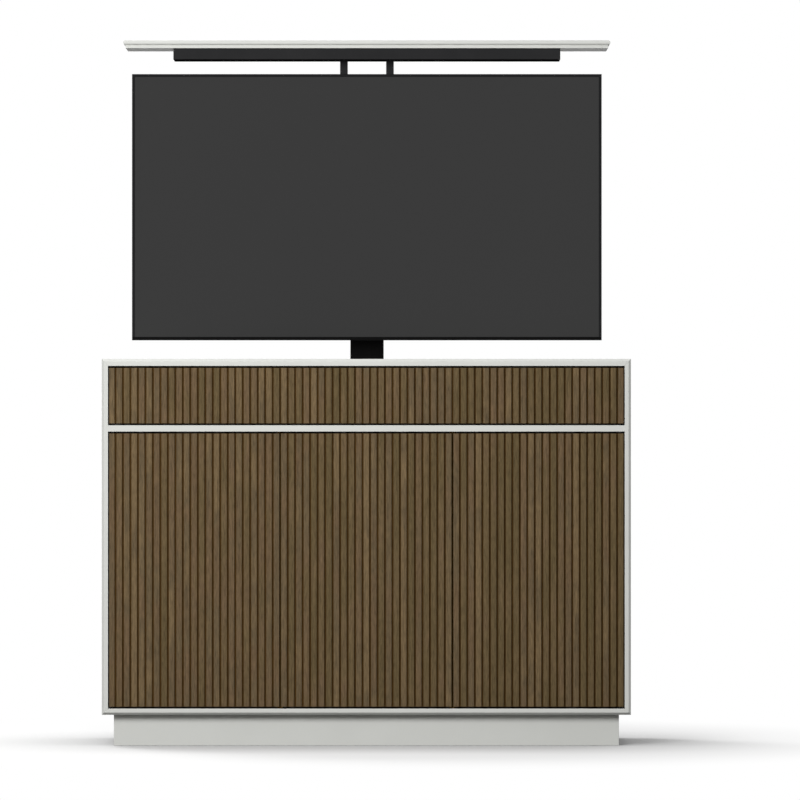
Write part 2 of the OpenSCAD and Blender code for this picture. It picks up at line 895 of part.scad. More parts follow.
// a hollow spindle that is turned by the square bar inside it
module upper_spindle() {
  color("silver")
    difference() {
      union() {
        rod_z(shaft_x, column_y, journal_r, middle_z + 3, middle_z + block_h + 1);
        rod_z(shaft_x, column_y, spindle_r, middle_z + block_h + 1, upper_top);
      }
      block([shaft_x - bar_w / 2 - nut_play, column_y - bar_w / 2 - nut_play, middle_z],
        [shaft_x + bar_w / 2 + nut_play, column_y + bar_w / 2 + nut_play, upper_top + 1]);
    }
}

module inner_column() {
  color("dimgray")
    tube(small_w, small_d, small_r, small_z, small_top);
}

module inner_glides() {
  color("white")
    pads(small_w, small_d, small_r, small_z + glide_inset);
}

// the blocks in the two ends of the inner tube
module inner_block() {
  color("silver")
    difference() {
      translate([0, column_y, small_z])
        linear_extrude(block_h)
          polygon(round_rect(small_w - 2 * tube_t, small_d - 2 * tube_t, small_r - tube_t));
      rod_z(shaft_x, column_y, nut_r + fit, small_z - 1, small_z + block_h + 1);
      rod_z(-shaft_x, column_y, spindle_r + 2, small_z - 1, small_z + block_h + 1);
    }
}

module upper_nut() {
  color("gold")
    difference() {
      rod_z(shaft_x, column_y, nut_r, small_z, small_z + block_h);
      rod_z(shaft_x, column_y, spindle_r + nut_play, small_z - 1, small_z + block_h + 1);
    }
}

module head_block() {
  color("silver")
    difference() {
      translate([0, column_y, small_top - block_h])
        linear_extrude(block_h)
          polygon(round_rect(small_w - 2 * tube_t, small_d - 2 * tube_t, small_r - tube_t));
      for (p = head_points)
        rod_z(p[0], p[1], bolt_r + fit, small_top - 18, small_top + 1);
    }
}

// a folded plate that hangs in front of the column from the head of the inner tube
module mount_plate() {
  color("black")
    difference() {
      union() {
        block([-plate_w / 2, plate_y, plate_z], [plate_w / 2, plate_y + plate_t, small_top + plate_t]);
        block([-plate_w / 2, plate_y, small_top],
          [plate_w / 2, column_y + small_d / 2, small_top + plate_t]);
        for (s = [0, 1])
          mirror([s, 0, 0])
            block([plate_w / 2 - plate_t, plate_y, plate_z],
              [plate_w / 2, plate_y + plate_t + plate_fold, small_top + plate_t]);
      }
      for (p = head_points)
        rod_z(p[0], p[1], bolt_r + fit, small_top - 1, small_top + plate_t + 1);
      for (p = concat(rail_points, arm_points))
        rod_y(p[0], p[1], bolt_r + fit, plate_y - 1, plate_y + plate_t + 1);
    }
}

// two channels across the mount plate
module cross_rails() {
  color("black")
    for (z = rail_z)
      difference() {
        union() {
          block([-rail_l / 2, plate_y - rail_t, z - rail_h / 2], [rail_l / 2, plate_y, z + rail_h / 2]);
          for (s = [-1, 1])
            translate([0, plate_y - (rail_d + rail_t) / 2, z + s * (rail_h - rail_t) / 2])
              cube([rail_l, rail_d - rail_t, rail_t], center = true);
        }
        for (s = [-1, 1])
          rod_y(s * rail_bolt, z, bolt_r + fit, plate_y - rail_d, plate_y + 1);
      }
}

// two upright channels that are bolted to the back of the television
module tv_brackets() {
  color("black")
    for (s = [-1, 1])
      difference() {
        translate([s * vesa_pitch / 2, tv_back_y, tv_z])
          linear_extrude(vesa_pitch + 2 * bracket_tail, center = true)
            polygon([[-bracket_w / 2, 0], [bracket_w / 2, 0], [bracket_w / 2, bracket_d],
              [bracket_w / 2 - rail_t, bracket_d], [bracket_w / 2 - rail_t, rail_t],
              [rail_t - bracket_w / 2, rail_t], [rail_t - bracket_w / 2, bracket_d],
              [-bracket_w / 2, bracket_d]]);
        for (p = vesa_points)
          rod_y(p[0], p[1], bolt_r + fit, tv_back_y - 1, tv_back_y + bracket_d + 1);
      }
}

// bolts of the mount: into the television, the rails, the lid arms and the column head
module mount_bolts() {
  color("silver") {
    for (p = vesa_points) {
      rod_y(p[0], p[1], bolt_r, tv_back_y - 11, tv_back_y + rail_t + 0.5);
      rod_y(p[0], p[1], 2 * bolt_r, tv_back_y + rail_t, tv_back_y + rail_t + 3.5);
    }
    for (p = concat(rail_points, arm_points)) {
      rod_y(p[0], p[1], bolt_r, plate_y - 6, plate_y + plate_t + 0.5);
      translate([p[0], plate_y + plate_t, p[1]])
        rotate([-90, 0, 0])
          cylinder(r = 1.9 * bolt_r, h = 3, $fn = 6);
    }
    for (p = head_points) {
      rod_z(p[0], p[1], bolt_r, small_top - 17, small_top + plate_t + 0.5);
      translate([p[0], p[1], small_top + plate_t])
        cylinder(r = 1.9 * bolt_r, h = 4, $fn = 6);
    }
    for (p = foot_points) {
      rod_z(p[0], p[1], bolt_r, channel_z, channel_z + channel_t + foot_t + 0.5);
      translate([p[0], p[1], channel_z + channel_t + foot_t])
        cylinder(r = 1.9 * bolt_r, h = 4, $fn = 6);
    }
  }
}

// two flat bars from the mount plate to the lid channel, each with a welded foot in the channel
module lid_arms() {
  color("black")
    difference() {
      for (s = [-1, 1]) {
        block([s * lid_arm_span / 2 - lid_arm_w / 2, arm_y, arm_z],
          [s * lid_arm_span / 2 + lid_arm_w / 2, plate_y, channel_z + channel_t + foot_t]);
        translate([s * lid_arm_span / 2, arm_y + lid_arm_t / 2, channel_z + channel_t])
          linear_extrude(foot_t)
            polygon(round_rect(foot_w, foot_d, 4));
      }
      for (p = arm_points)
        rod_y(p[0], p[1], bolt_r + fit, plate_y - 6.5, plate_y + 1);
      for (p = foot_points)
        rod_z(p[0], p[1], bolt_r + fit, channel_z, channel_z + channel_t + foot_t + 1);
    }
}

// a lipped channel, open towards the lid
module lid_channel() {
  color("black")
    difference() {
      translate([-channel_l / 2, channel_y, channel_z])
        rotate([90, 0, 90])
          linear_extrude(channel_l)
            polygon([[0, 0], [channel_d, 0], [channel_d, channel_h],
              [channel_d - channel_lip, channel_h], [channel_d - channel_lip, channel_h - channel_t],
              [channel_d - channel_t, channel_h - channel_t], [channel_d - channel_t, channel_t],
              [channel_t, channel_t], [channel_t, channel_h - channel_t],
              [channel_lip, channel_h - channel_t], [channel_lip, channel_h], [0, channel_h]]);
      for (s = [-1, 1])
        block([s * lid_arm_span / 2 - lid_arm_w / 2 - fit, arm_y - fit, channel_z - 1],
          [s * lid_arm_span / 2 + lid_arm_w / 2 + fit, plate_y + fit, channel_z + channel_t + 1]);
      for (p = foot_points)
        rod_z(p[0], p[1], bolt_r + fit, channel_z - 1, channel_z + channel_t + 1);
      for (p = lid_points)
        rod_z(p[0], p[1], 2 + fit, core_z - channel_t - 1, core_z + 1);
    }
}

module lid_screws() {
  color("silver")
    for (p = lid_points) {
      rod_z(p[0], p[1], 2, core_z - channel_t - 0.5, core_z + lid_core_t - 1.5);
      rod_z(p[0], p[1], 3.8, core_z - channel_t - 2.5, core_z - channel_t);
    }
}

module lid_core() {
  color("white")
    difference() {
      block([-core_w / 2, core_y, core_z], [core_w / 2, core_y + lid_core_d, lid_z]);
      for (p = lid_points)
        rod_z(p[0], p[1], 2 + fit, core_z - 1, lid_z - 1);
    }
}

// outline of a board with half-round edges, half its width to each side
function nose(half, t) = concat(
  arc(half - t / 2, t / 2, t / 2, -90, 90, 10),
  arc(t / 2 - half, t / 2, t / 2, 90, 270, 10));

module lid_board() {
  color("white")
    translate([0, core_y + lid_core_d / 2, lid_z])
      intersection() {
        rotate([90, 0, 0])
          linear_extrude(lid_core_d + 2 * lid_lip, center = true)
            polygon(nose(core_w / 2 + lid_lip, lid_board_t));
        rotate([90, 0, 90])
          linear_extrude(core_w + 2 * lid_lip, center = true)
            polygon(nose(lid_core_d / 2 + lid_lip, lid_board_t));
      }
}

module tv_screen() {
  color("black")
    block([-screen_w / 2, tv_front_y + glass_set, tv_z - screen_h / 2],
      [screen_w / 2, tv_front_y + glass_set + glass_t, tv_z + screen_h / 2]);
}

// the frame around the screen, with a ledge behind the glass
module tv_bezel() {
  color("black")
    difference() {
      block([-tv_w / 2, tv_front_y, tv_z - tv_h / 2],
        [tv_w / 2, tv_front_y + bezel_d, tv_z + tv_h / 2]);
      block([-screen_w / 2 - fit, tv_front_y - 1, tv_z - screen_h / 2 - fit],
        [screen_w / 2 + fit, tv_front_y + glass_set + glass_t, tv_z + screen_h / 2 + fit]);
      block([-screen_w / 2 + 8, tv_front_y, tv_z - screen_h / 2 + 8],
        [screen_w / 2 - 8, tv_front_y + bezel_d + 1, tv_z + screen_h / 2 - 8]);
    }
}

// a box whose back is smaller all round than its front, standing on y = 0
module tapered(w, h, d, inset) {
  intersection() {
    translate([0, 0, -h / 2])
      linear_extrude(h)
        polygon([[-w / 2, 0], [w / 2, 0], [w / 2 - inset, d], [inset - w / 2, d]]);
    translate([-w / 2, 0, 0])
      rotate([90, 0, 90])
        linear_extrude(w)
          polygon([[0, -h / 2], [d, inset - h / 2], [d, h / 2 - inset], [0, h / 2]]);
  }
}

// the flat cover behind the panel
module tv_cover() {
  color("black")
    translate([0, tv_front_y + bezel_d, tv_z])
      difference() {
        tapered(tv_w, tv_h, cover_d, cover_d);
        translate([0, -eps, 0])
          tapered(tv_w - 8, tv_h - 8, cover_d - cover_t, cover_d);
      }
}

// the raised housing with the electronics, its fixing bosses and cooling slots
module tv_housing() {
  color("black")
    translate([0, tv_front_y + bezel_d + cover_d, tv_z])
      difference() {
        union() {
          difference() {
            tapered(housing_w, vesa_pitch + 2 * housing_rim, housing_d, housing_slope);
            translate([0, -eps, 0])
              tapered(housing_w - 2.4 * cover_t, vesa_pitch + 2 * housing_rim - 2.4 * cover_t,
                housing_d - cover_t, housing_slope);
          }
          for (x = [-1, 1], z = [-1, 1])
            rod_y(x * vesa_pitch / 2, z * vesa_pitch / 2, 10, 1, housing_d - cover_t + 1);
        }
        for (x = [-1, 1], z = [-1, 1])
          rod_y(x * vesa_pitch / 2, z * vesa_pitch / 2, bolt_r + fit, housing_d - 12, housing_d + 1);
        for (s = [-1, 1], i = [0:13])
          translate([s * 260 - 91 + 14 * i, housing_d - cover_t - 1, 110])
            cube([6, cover_t + 2, 70]);
      }
}

left_side_panel();
right_side_panel();
top_panel();
bottom_panel();
media_shelf();
left_partition();
right_partition();
bay_wall();
back_panel();
plinth_front();
plinth_back();
plinth_sides();
storage_shelves();
shelf_pins();
pivot_bushes();
left_door();
left_door_pins();
centre_door();
centre_door_pins();
right_door();
right_door_pins();
flap();
flap_pins();
base_plate();
lift_bolts();
gearbox();
motor();
shaft_bearings();
outer_column();
outer_collar();
outer_glides();
wall_bracket();
control_box();
lower_spindle();
drive_bar();
middle_column();
middle_collar();
middle_glides();
middle_block();
lower_nut();
upper_bearing();
upper_spindle();
inner_column();
inner_glides();
inner_block();
upper_nut();
head_block();
mount_plate();
cross_rails();
tv_brackets();
mount_bolts();
lid_arms();
lid_channel();
lid_screws();
lid_core();
lid_board();
tv_screen();
tv_bezel();
tv_cover();
tv_housing();
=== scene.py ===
# Television lift cabinet with the lift raised: finishes, fine details, light and camera on the CAD model.
# Metres, X to the right, +Y to the back, Z up from the floor.
import math
import bmesh
import bpy
from mathutils import Matrix, Vector


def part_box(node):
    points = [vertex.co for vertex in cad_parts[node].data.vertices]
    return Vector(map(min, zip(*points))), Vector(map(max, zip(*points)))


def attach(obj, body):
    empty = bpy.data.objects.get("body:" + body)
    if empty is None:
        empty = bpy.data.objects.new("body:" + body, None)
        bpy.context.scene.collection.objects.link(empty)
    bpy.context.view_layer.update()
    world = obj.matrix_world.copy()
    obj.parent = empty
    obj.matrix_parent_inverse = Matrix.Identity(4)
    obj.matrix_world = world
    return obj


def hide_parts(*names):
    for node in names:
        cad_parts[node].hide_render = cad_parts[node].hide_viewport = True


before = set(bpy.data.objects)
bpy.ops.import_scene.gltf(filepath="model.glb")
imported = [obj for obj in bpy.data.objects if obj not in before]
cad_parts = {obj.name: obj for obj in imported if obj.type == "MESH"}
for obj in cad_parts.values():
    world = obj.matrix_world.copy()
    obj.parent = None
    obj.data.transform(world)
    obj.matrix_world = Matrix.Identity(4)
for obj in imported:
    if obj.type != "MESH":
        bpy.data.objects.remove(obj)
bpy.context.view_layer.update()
scene = bpy.context.scene
scene.view_settings.view_transform = "Standard"

# Camera
# A long lens 18 m in front of the cabinet and level with it, looking straight along +Y: the photo
# shows the front square on, with only a trace of the undersides of the lid and of its channel.
lens = bpy.data.cameras.new("camera")
lens.lens = 312.67
lens.clip_end = 200.0
camera = bpy.data.objects.new("camera", lens)
camera.location = (0.0862, -18.03, 0.8868)
camera.rotation_euler = (math.radians(90), 0, 0)
scene.collection.objects.link(camera)
scene.camera = camera


# Studio
# A white room: a dim even sky, a wide soft lamp high in front on the left and another behind on the
# left, and a pale floor. Camera, gloss and glass see plain white; the floor keeps the cabinet's shadow,
# partly lit and partly painted.
def srgb(text):
    """The linear colour of an sRGB hex value."""
    parts = [int(text[i:i + 2], 16) / 255 for i in (1, 3, 5)]
    return tuple(c / 12.92 if c <= 0.04045 else ((c + 0.055) / 1.055) ** 2.4 for c in parts) + (1.0,)


def add(tree, kind, inputs=None, **settings):
    """A node with its settings. An input is a value, the output that it is linked to, or a list of those."""
    node = tree.nodes.new(kind)
    for name, value in settings.items():
        setattr(node, name, value)
    for name, value in (inputs or {}).items():
        for source in value if isinstance(value, list) else [value]:
            if isinstance(source, bpy.types.NodeSocket):
                tree.links.new(source, node.inputs[name])
            else:
                node.inputs[name].default_value = source
    return node


def white_to_the_eye(tree):
    """1 for the rays that show the room itself: camera, gloss and glass."""
    path = add(tree, "ShaderNodeLightPath")
    eye = add(tree, "ShaderNodeMath",
              {0: path.outputs["Is Camera Ray"], 1: path.outputs["Is Glossy Ray"]}, operation="MAXIMUM")
    return add(tree, "ShaderNodeMath",
               {0: eye.outputs[0], 1: path.outputs["Is Transmission Ray"]}, operation="MAXIMUM").outputs[0]


room = bpy.data.worlds.new("white_studio")
room.use_nodes = True
room.node_tree.nodes.clear()
sky = add(room.node_tree, "ShaderNodeBackground", {"Color": srgb("#FFFFFF"), "Strength": 0.36})
backdrop = add(room.node_tree, "ShaderNodeBackground", {"Color": srgb("#FFFFFF"), "Strength": 1.0})
seen = add(room.node_tree, "ShaderNodeMixShader",
           {0: white_to_the_eye(room.node_tree), 1: sky.outputs[0], 2: backdrop.outputs[0]})
add(room.node_tree, "ShaderNodeOutputWorld", {"Surface": seen.outputs[0]})
scene.world = room

middle_of_the_cabinet = Vector((0, 0, 0.9))
lamps = (("front_lamp", (-1.15, -3.9, 2.35), 118.0), ("back_lamp", (-2.7, 2.9, 4.1), 165.0))
for name, place, power in lamps:
    light = bpy.data.lights.new(name, "AREA")
    light.shape = "DISK"
    light.size = 2.2
    light.energy = power
    light.color = srgb("#FFFFFF")[:3]
    lamp = bpy.data.objects.new(name, light)
    lamp.location = place
    lamp.rotation_euler = (middle_of_the_cabinet - lamp.location).to_track_quat("-Z", "Y").to_euler()
    lamp.visible_glossy = False
    scene.collection.objects.link(lamp)

paper = bpy.data.materials.new("white_studio_paper")
paper.use_nodes = True
tree = paper.node_tree
tree.nodes.clear()
bounce = add(tree, "ShaderNodeBsdfDiffuse", {"Color": srgb("#343434")})
# near the cabinet the paper shows its shadow from the lamps and sky, plus a painted shadow: a glow
# dimmed by ambient occlusion; from 0.75 to 1.5 m away it fades into the white room
occlusion_for_painted_shadow = add(tree, "ShaderNodeAmbientOcclusion", {"Distance": 0.45}, samples=16)
painted_shadow_glow = add(tree, "ShaderNodeMath", {0: occlusion_for_painted_shadow.outputs["AO"], 1: 1.7}, operation="POWER")
painted_shadow_glow = add(tree, "ShaderNodeMath", {0: painted_shadow_glow.outputs[0], 1: 0.47}, operation="MULTIPLY")
# painted shadow: the paper's own glow, weaker where the cabinet is close
painted_shadow_glow = add(tree, "ShaderNodeEmission", {"Color": srgb("#FFFFFF"), "Strength": painted_shadow_glow.outputs[0]})
shade = add(tree, "ShaderNodeBsdfDiffuse", {"Color": srgb("#BEBEBE")})
shaded = add(tree, "ShaderNodeAddShader", {0: shade.outputs[0], 1: painted_shadow_glow.outputs[0]})
plain = add(tree, "ShaderNodeEmission", {"Color": srgb("#FFFFFF"), "Strength": 1.0})
place = add(tree, "ShaderNodeTexCoord").outputs["Object"]
away = add(tree, "ShaderNodeVectorMath", {0: place}, operation="LENGTH")
away = add(tree, "ShaderNodeMapRange",
           {"Value": away.outputs["Value"], "From Min": 0.75, "From Max": 1.5},
           interpolation_type="SMOOTHSTEP")
shown = add(tree, "ShaderNodeMixShader", {0: away.outputs[0], 1: shaded.outputs[0], 2: plain.outputs[0]})
both = add(tree, "ShaderNodeMixShader",
           {0: white_to_the_eye(tree), 1: bounce.outputs[0], 2: shown.outputs[0]})
add(tree, "ShaderNodeOutputMaterial", {"Surface": both.outputs[0]})
sheet = bpy.data.meshes.new("floor")
half_side = 14.0
corners = [(x * half_side, y * half_side, 0) for x, y in ((-1, -1), (1, -1), (1, 1), (-1, 1))]
sheet.from_pydata(corners, [], [(0, 1, 2, 3)])
sheet.materials.append(paper)
floor = bpy.data.objects.new("floor", sheet)
scene.collection.objects.link(floor)


# Plinth
# Four 16 mm boards on edge under the cabinet, set back 30 mm. Fibreboard with the same sprayed
# satin lacquer as the body; every edge is eased by hand before it is sprayed.
def surface(name, **values):
    """A material with one Principled shader, its tree, that shader and the place on the piece."""
    material = bpy.data.materials.new(name)
    material.use_nodes = True
    tree = material.node_tree
    tree.nodes.clear()
    shader = add(tree, "ShaderNodeBsdfPrincipled", {k.replace("_", " "): v for k, v in values.items()})
    add(tree, "ShaderNodeOutputMaterial", {"Surface": shader.outputs[0]})
    place = add(tree, "ShaderNodeTexCoord").outputs["Object"]
    return material, tree, shader, place


def vary(shader, gloss, relief=None, tint=None):
    """A pattern leads the shader's roughness between two ends. A relief is a pattern, its strength and its
    depth, and a tint is a pattern and the two colours that it mixes."""
    tree = shader.id_data
    pattern, low, high = gloss
    rough = add(tree, "ShaderNodeMapRange", {"Value": pattern, "To Min": low, "To Max": high})
    tree.links.new(rough.outputs["Result"], shader.inputs["Roughness"])
    if relief:
        pattern, strength, depth = relief
        bump = add(tree, "ShaderNodeBump", {"Height": pattern, "Strength": strength, "Distance": depth})
        tree.links.new(bump.outputs["Normal"], shader.inputs["Normal"])
    if tint:
        pattern, low, high = tint
        mixed = add(tree, "ShaderNodeMixRGB", {"Fac": pattern, "Color1": srgb(low), "Color2": srgb(high)})
        tree.links.new(mixed.outputs["Color"], shader.inputs["Base Color"])


def eased(name, body, slot, finish, *nodes, radius, plane=None):
    """CAD pieces with their sharp edges broken by a small radius, standing for the CAD nodes.
    A plane is a function that first works the merged form over, as a hand plane does."""
    form = bmesh.new()
    for node in nodes:
        form.from_mesh(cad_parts[node].data)
    bmesh.ops.remove_doubles(form, verts=form.verts, dist=1e-6)
    if plane:
        plane(form, *nodes)
    bmesh.ops.dissolve_limit(form, angle_limit=math.radians(0.5), verts=form.verts, edges=form.edges)
    mesh = bpy.data.meshes.new(name)
    form.to_mesh(mesh)
    form.free()
    mesh.shade_smooth()
    mesh.set_sharp_from_angle(angle=math.radians(32))
    mesh.materials.clear()
    mesh.materials.append(finish)
    for face in mesh.polygons:
        face.material_index = 0
    piece = bpy.data.objects.new(name, mesh)
    scene.collection.objects.link(piece)
    edge = piece.modifiers.new("eased_edges", "BEVEL")
    edge.width = radius
    edge.segments = 2
    edge.limit_method = "ANGLE"
    edge.angle_limit = math.radians(40)
    edge.use_clamp_overlap = True
    edge.harden_normals = True
    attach(piece, body)
    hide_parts(*nodes)


# sprayed satin lacquer: a soft sheen over a faint orange peel of 1.5 mm, drawn at 4 mm so that it
# shows, and a colour that drifts by a hair over a hand's width
white_lacquer, tree, shader, place = surface("satin_white_lacquer", IOR=1.5, Specular_IOR_Level=0.25)
drift = add(tree, "ShaderNodeTexNoise", {"Vector": place, "Scale": 9.0, "Detail": 3.0}).outputs["Fac"]
peel = add(tree, "ShaderNodeTexNoise", {"Vector": place, "Scale": 260.0, "Detail": 2.0}).outputs["Fac"]
vary(shader, tint=(drift, "#E9EAE5", "#F0F1EC"), gloss=(drift, 0.40, 0.50), relief=(peel, 0.12, 0.0004))
for boards, node in (("plinth_front_board", "plinth_front"), ("plinth_back_board", "plinth_back"),
                     ("plinth_side_boards", "plinth_sides")):
    eased(boards, "cabinet", "white_lacquer", white_lacquer, node, radius=0.0008)

# Cabinet body
# Two sides, top and bottom, mitred into one frame with a 6 mm chamfer round its outer front edge, and
# the shelf whose front edge is the middle rail. Fibreboard, glued and sprayed with the satin lacquer.
chamfer = 0.006
low = Vector((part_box("left_side_panel")[0].x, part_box("top_panel")[0].y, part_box("bottom_panel")[0].z))
high = Vector((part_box("right_side_panel")[1].x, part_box("top_panel")[1].y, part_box("top_panel")[1].z))
frame_middle = (low + high) / 2
frame_half = (high - low) / 2


def plane_chamfer(form, board):
    """Planes the round of a board's outer front edge flat, between the lines where it starts and ends.
    Points on a mitred end slide along the mitre."""
    across, along = (0, 2) if "side" in board else (2, 0)
    for point in form.verts:
        out = point.co - frame_middle
        edge = frame_half[across] - abs(out[across])
        end = frame_half[along] - abs(out[along])
        step = (chamfer - edge - frame_half.y - out.y) / 2
        if step > 0:
            point.co.y += step
            point.co[across] -= math.copysign(step, out[across])
            if edge / 2 < end < 2 * edge:
                point.co[along] -= math.copysign(step * end / edge, out[along])


for board in ("left_side_panel", "right_side_panel", "top_panel", "bottom_panel"):
    eased(board + "_board", "cabinet", "white_lacquer", white_lacquer, board,
          radius=0.0006, plane=plane_chamfer)
eased("media_shelf_board", "cabinet", "white_lacquer", white_lacquer, "media_shelf", radius=0.0006)

# Inner boards
# Partitions behind the door seams, the wall in front of the television bay and three loose shelves.
# Chipboard faced with white melamine, whose edges are banded and scraped.
melamine, tree, shader, place = surface("white_melamine_board", IOR=1.5, Specular_IOR_Level=0.35)
# pressed paper in resin: a fine even pearl of about 1 mm, drawn at 3 mm, flatter than the lacquer
pearl = add(tree, "ShaderNodeTexVoronoi", {"Vector": place, "Scale": 330.0}).outputs["Distance"]
cloud = add(tree, "ShaderNodeTexNoise", {"Vector": place, "Scale": 14.0, "Detail": 4.0}).outputs["Fac"]
vary(shader, tint=(cloud, "#E4E3DF", "#EDECE9"), gloss=(pearl, 0.5, 0.6), relief=(pearl, 0.08, 0.0003))
for board in ("left_partition", "right_partition", "bay_wall", "storage_shelves"):
    eased(board + "_board", "cabinet", "white_lacquer", melamine, board, radius=0.0005)

# Back panel
# An 8 mm panel between the sides with a service opening, cooling slots and two holes for the wall
# fixing. It is screwed to the boards round it with small pan-head screws.
eased("back_panel_board", "cabinet", "white_lacquer", melamine, "back_panel", radius=0.0004)

# zinc-plated steel: bright, with a fine crystal mottle of about 1 mm and a cool cast
zinc, tree, shader, place = surface("zinc_plated_steel", Metallic=1.0)
spangle = add(tree, "ShaderNodeTexVoronoi", {"Vector": place, "Scale": 900.0}).outputs["Distance"]
cloud = add(tree, "ShaderNodeTexNoise", {"Vector": place, "Scale": 120.0, "Detail": 4.0}).outputs["Fac"]
vary(shader, tint=(spangle, "#AEB3B8", "#CDD1D3"), gloss=(cloud, 0.24, 0.46))


def sized_tree(name, sizes):
    """A Geometry Nodes tree, and its inputs: the points it stands on, its sizes and its finish."""
    tree = bpy.data.node_groups.new(name, "GeometryNodeTree")
    tree.interface.new_socket("Geometry", in_out="OUTPUT", socket_type="NodeSocketGeometry")
    tree.interface.new_socket("Geometry", in_out="INPUT", socket_type="NodeSocketGeometry")
    kinds = {int: "NodeSocketInt", float: "NodeSocketFloat", tuple: "NodeSocketVector"}
    for label, size in sizes.items():
        socket = tree.interface.new_socket(label, in_out="INPUT", socket_type=kinds[type(size)])
        socket.default_value = size
    tree.interface.new_socket("Finish", in_out="INPUT", socket_type="NodeSocketMaterial")
    return tree, add(tree, "NodeGroupInput").outputs


def close_tree(tree, shapes, finish):
    """Ends a tree: its instances are made real and take their finish."""
    real = add(tree, "GeometryNodeRealizeInstances", {"Geometry": shapes})
    dressed = add(tree, "GeometryNodeSetMaterial", {"Geometry": real.outputs[0], "Material": finish})
    add(tree, "NodeGroupOutput", {"Geometry": dressed.outputs[0]})


fastener, given = sized_tree("screw_or_bolt", {
    "Head sides": 24, "Head radius": 0.004, "Head top": 0.0034, "Head height": 0.0024, "Recess sides": 6,
    "Recess radius": 0.0016, "Recess depth": 0.0012, "Washer radius": 0.005, "Washer height": 0.0004,
    "Shank radius": 0.0019})
head = add(fastener, "GeometryNodeMeshCone",
           {"Vertices": given["Head sides"], "Radius Top": given["Head top"],
            "Radius Bottom": given["Head radius"], "Depth": given["Head height"]})
seat = add(fastener, "ShaderNodeCombineXYZ", {"Z": given["Washer height"]})
head = add(fastener, "GeometryNodeTransform",
           {"Geometry": head.outputs["Mesh"], "Translation": seat.outputs[0]})
drive = add(fastener, "GeometryNodeMeshCylinder",
            {"Vertices": given["Recess sides"], "Radius": given["Recess radius"],
             "Depth": given["Recess depth"]})
rise = add(fastener, "ShaderNodeMath", {0: given["Washer height"], 1: given["Head height"]}, operation="ADD")
rise = add(fastener, "ShaderNodeCombineXYZ", {"Z": rise.outputs[0]})
drive = add(fastener, "GeometryNodeTransform",
            {"Geometry": drive.outputs["Mesh"], "Translation": rise.outputs[0]})
head = add(fastener, "GeometryNodeMeshBoolean",
           {"Mesh 1": head.outputs[0], "Mesh 2": drive.outputs[0]}, operation="DIFFERENCE")
washer = add(fastener, "GeometryNodeMeshCylinder",
             {"Vertices": 28, "Radius": given["Washer radius"], "Depth": given["Washer height"]})
half = add(fastener, "ShaderNodeMath", {0: given["Washer height"], 1: 0.5}, operation="MULTIPLY")
half = add(fastener, "ShaderNodeCombineXYZ", {"Z": half.outputs[0]})
washer = add(fastener, "GeometryNodeTransform",
             {"Geometry": washer.outputs["Mesh"], "Translation": half.outputs[0]})
top = add(fastener, "GeometryNodeJoinGeometry", {0: [head.outputs[0], washer.outputs[0]]})
shank = add(fastener, "GeometryNodeMeshCylinder",
            {"Vertices": 16, "Radius": given["Shank radius"], "Depth": 1.0})
shank = add(fastener, "GeometryNodeTransform",
            {"Geometry": shank.outputs["Mesh"], "Translation": (0, 0, -0.5)})
way = add(fastener, "GeometryNodeInputNamedAttribute", {"Name": "way"}, data_type="FLOAT_VECTOR")
reach = add(fastener, "GeometryNodeInputNamedAttribute", {"Name": "reach"}, data_type="FLOAT")
turn = add(fastener, "FunctionNodeAlignRotationToVector", {"Vector": way.outputs[0]}, axis="Z")
long = add(fastener, "ShaderNodeCombineXYZ", {"X": 1.0, "Y": 1.0, "Z": reach.outputs[0]})
heads = add(fastener, "GeometryNodeInstanceOnPoints",
            {"Points": given["Geometry"], "Instance": top.outputs[0], "Rotation": turn.outputs[0]})
shanks = add(fastener, "GeometryNodeInstanceOnPoints",
             {"Points": given["Geometry"], "Instance": shank.outputs[0], "Rotation": turn.outputs[0],
              "Scale": long.outputs[0]})
whole = add(fastener, "GeometryNodeJoinGeometry", {0: [heads.outputs[0], shanks.outputs[0]]})
close_tree(fastener, whole.outputs[0], given["Finish"])


def grown(name, body, tree, sizes, points=(), nodes=()):
    """The plain mesh that a node tree makes with these sizes, riding on its body.
    A point is a place, the way that it faces and how far the piece reaches in behind it."""
    seed = bpy.data.meshes.new(name)
    seed.from_pydata([p[0] for p in points], [], [])
    if points:
        way = seed.attributes.new("way", "FLOAT_VECTOR", "POINT")
        way.data.foreach_set("vector", [c for p in points for c in p[1]])
        reach = seed.attributes.new("reach", "FLOAT", "POINT")
        reach.data.foreach_set("value", [p[2] for p in points])
    piece = bpy.data.objects.new(name, seed)
    scene.collection.objects.link(piece)
    modifier = piece.modifiers.new("shape", "NODES")
    modifier.node_group = tree
    for item in tree.interface.items_tree:
        if item.in_out == "INPUT" and item.name in sizes:
            modifier[item.identifier] = sizes[item.name]
    graph = bpy.context.evaluated_depsgraph_get()
    mesh = bpy.data.meshes.new_from_object(piece.evaluated_get(graph), preserve_all_data_layers=True,
                                           depsgraph=graph)
    piece.modifiers.remove(modifier)
    piece.data = mesh
    mesh.name = name
    mesh.shade_smooth()
    mesh.set_sharp_from_angle(angle=math.radians(35))
    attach(piece, body)
    if nodes:
        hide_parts(*nodes)


def spread(xs, ys, zs, way, reach):
    """Points for fasteners wherever these places cross, all facing one way and reaching in equally far."""
    return [((x, y, z), way, reach) for x in xs for y in ys for z in zs]


to_the_back = (0, 1, 0)
low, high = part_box("back_panel")
rim = 0.01
inner = 0.24
left, right = low.x + rim, high.x - rim
screw_reach = 0.006
spots = spread((left, -inner, inner, right), (high.y,), (low.z + rim, high.z - rim), to_the_back, screw_reach)
spots += spread((left, right), (high.y,), (0.32, 0.54, 0.76), to_the_back, screw_reach)
grown("back_panel_screws", "cabinet", fastener, {"Finish": zinc}, spots)

# Shelf pins, pivot bushes and pivot pins
# Turned steel pins carry the loose shelves and are the hinges of the fronts. The hinge pins are plated
# black, and turn in flanged bushes of black acetal pressed into the boards above and below.
black_acetal, tree, shader, place = surface("black_acetal", IOR=1.48, Specular_IOR_Level=0.2)
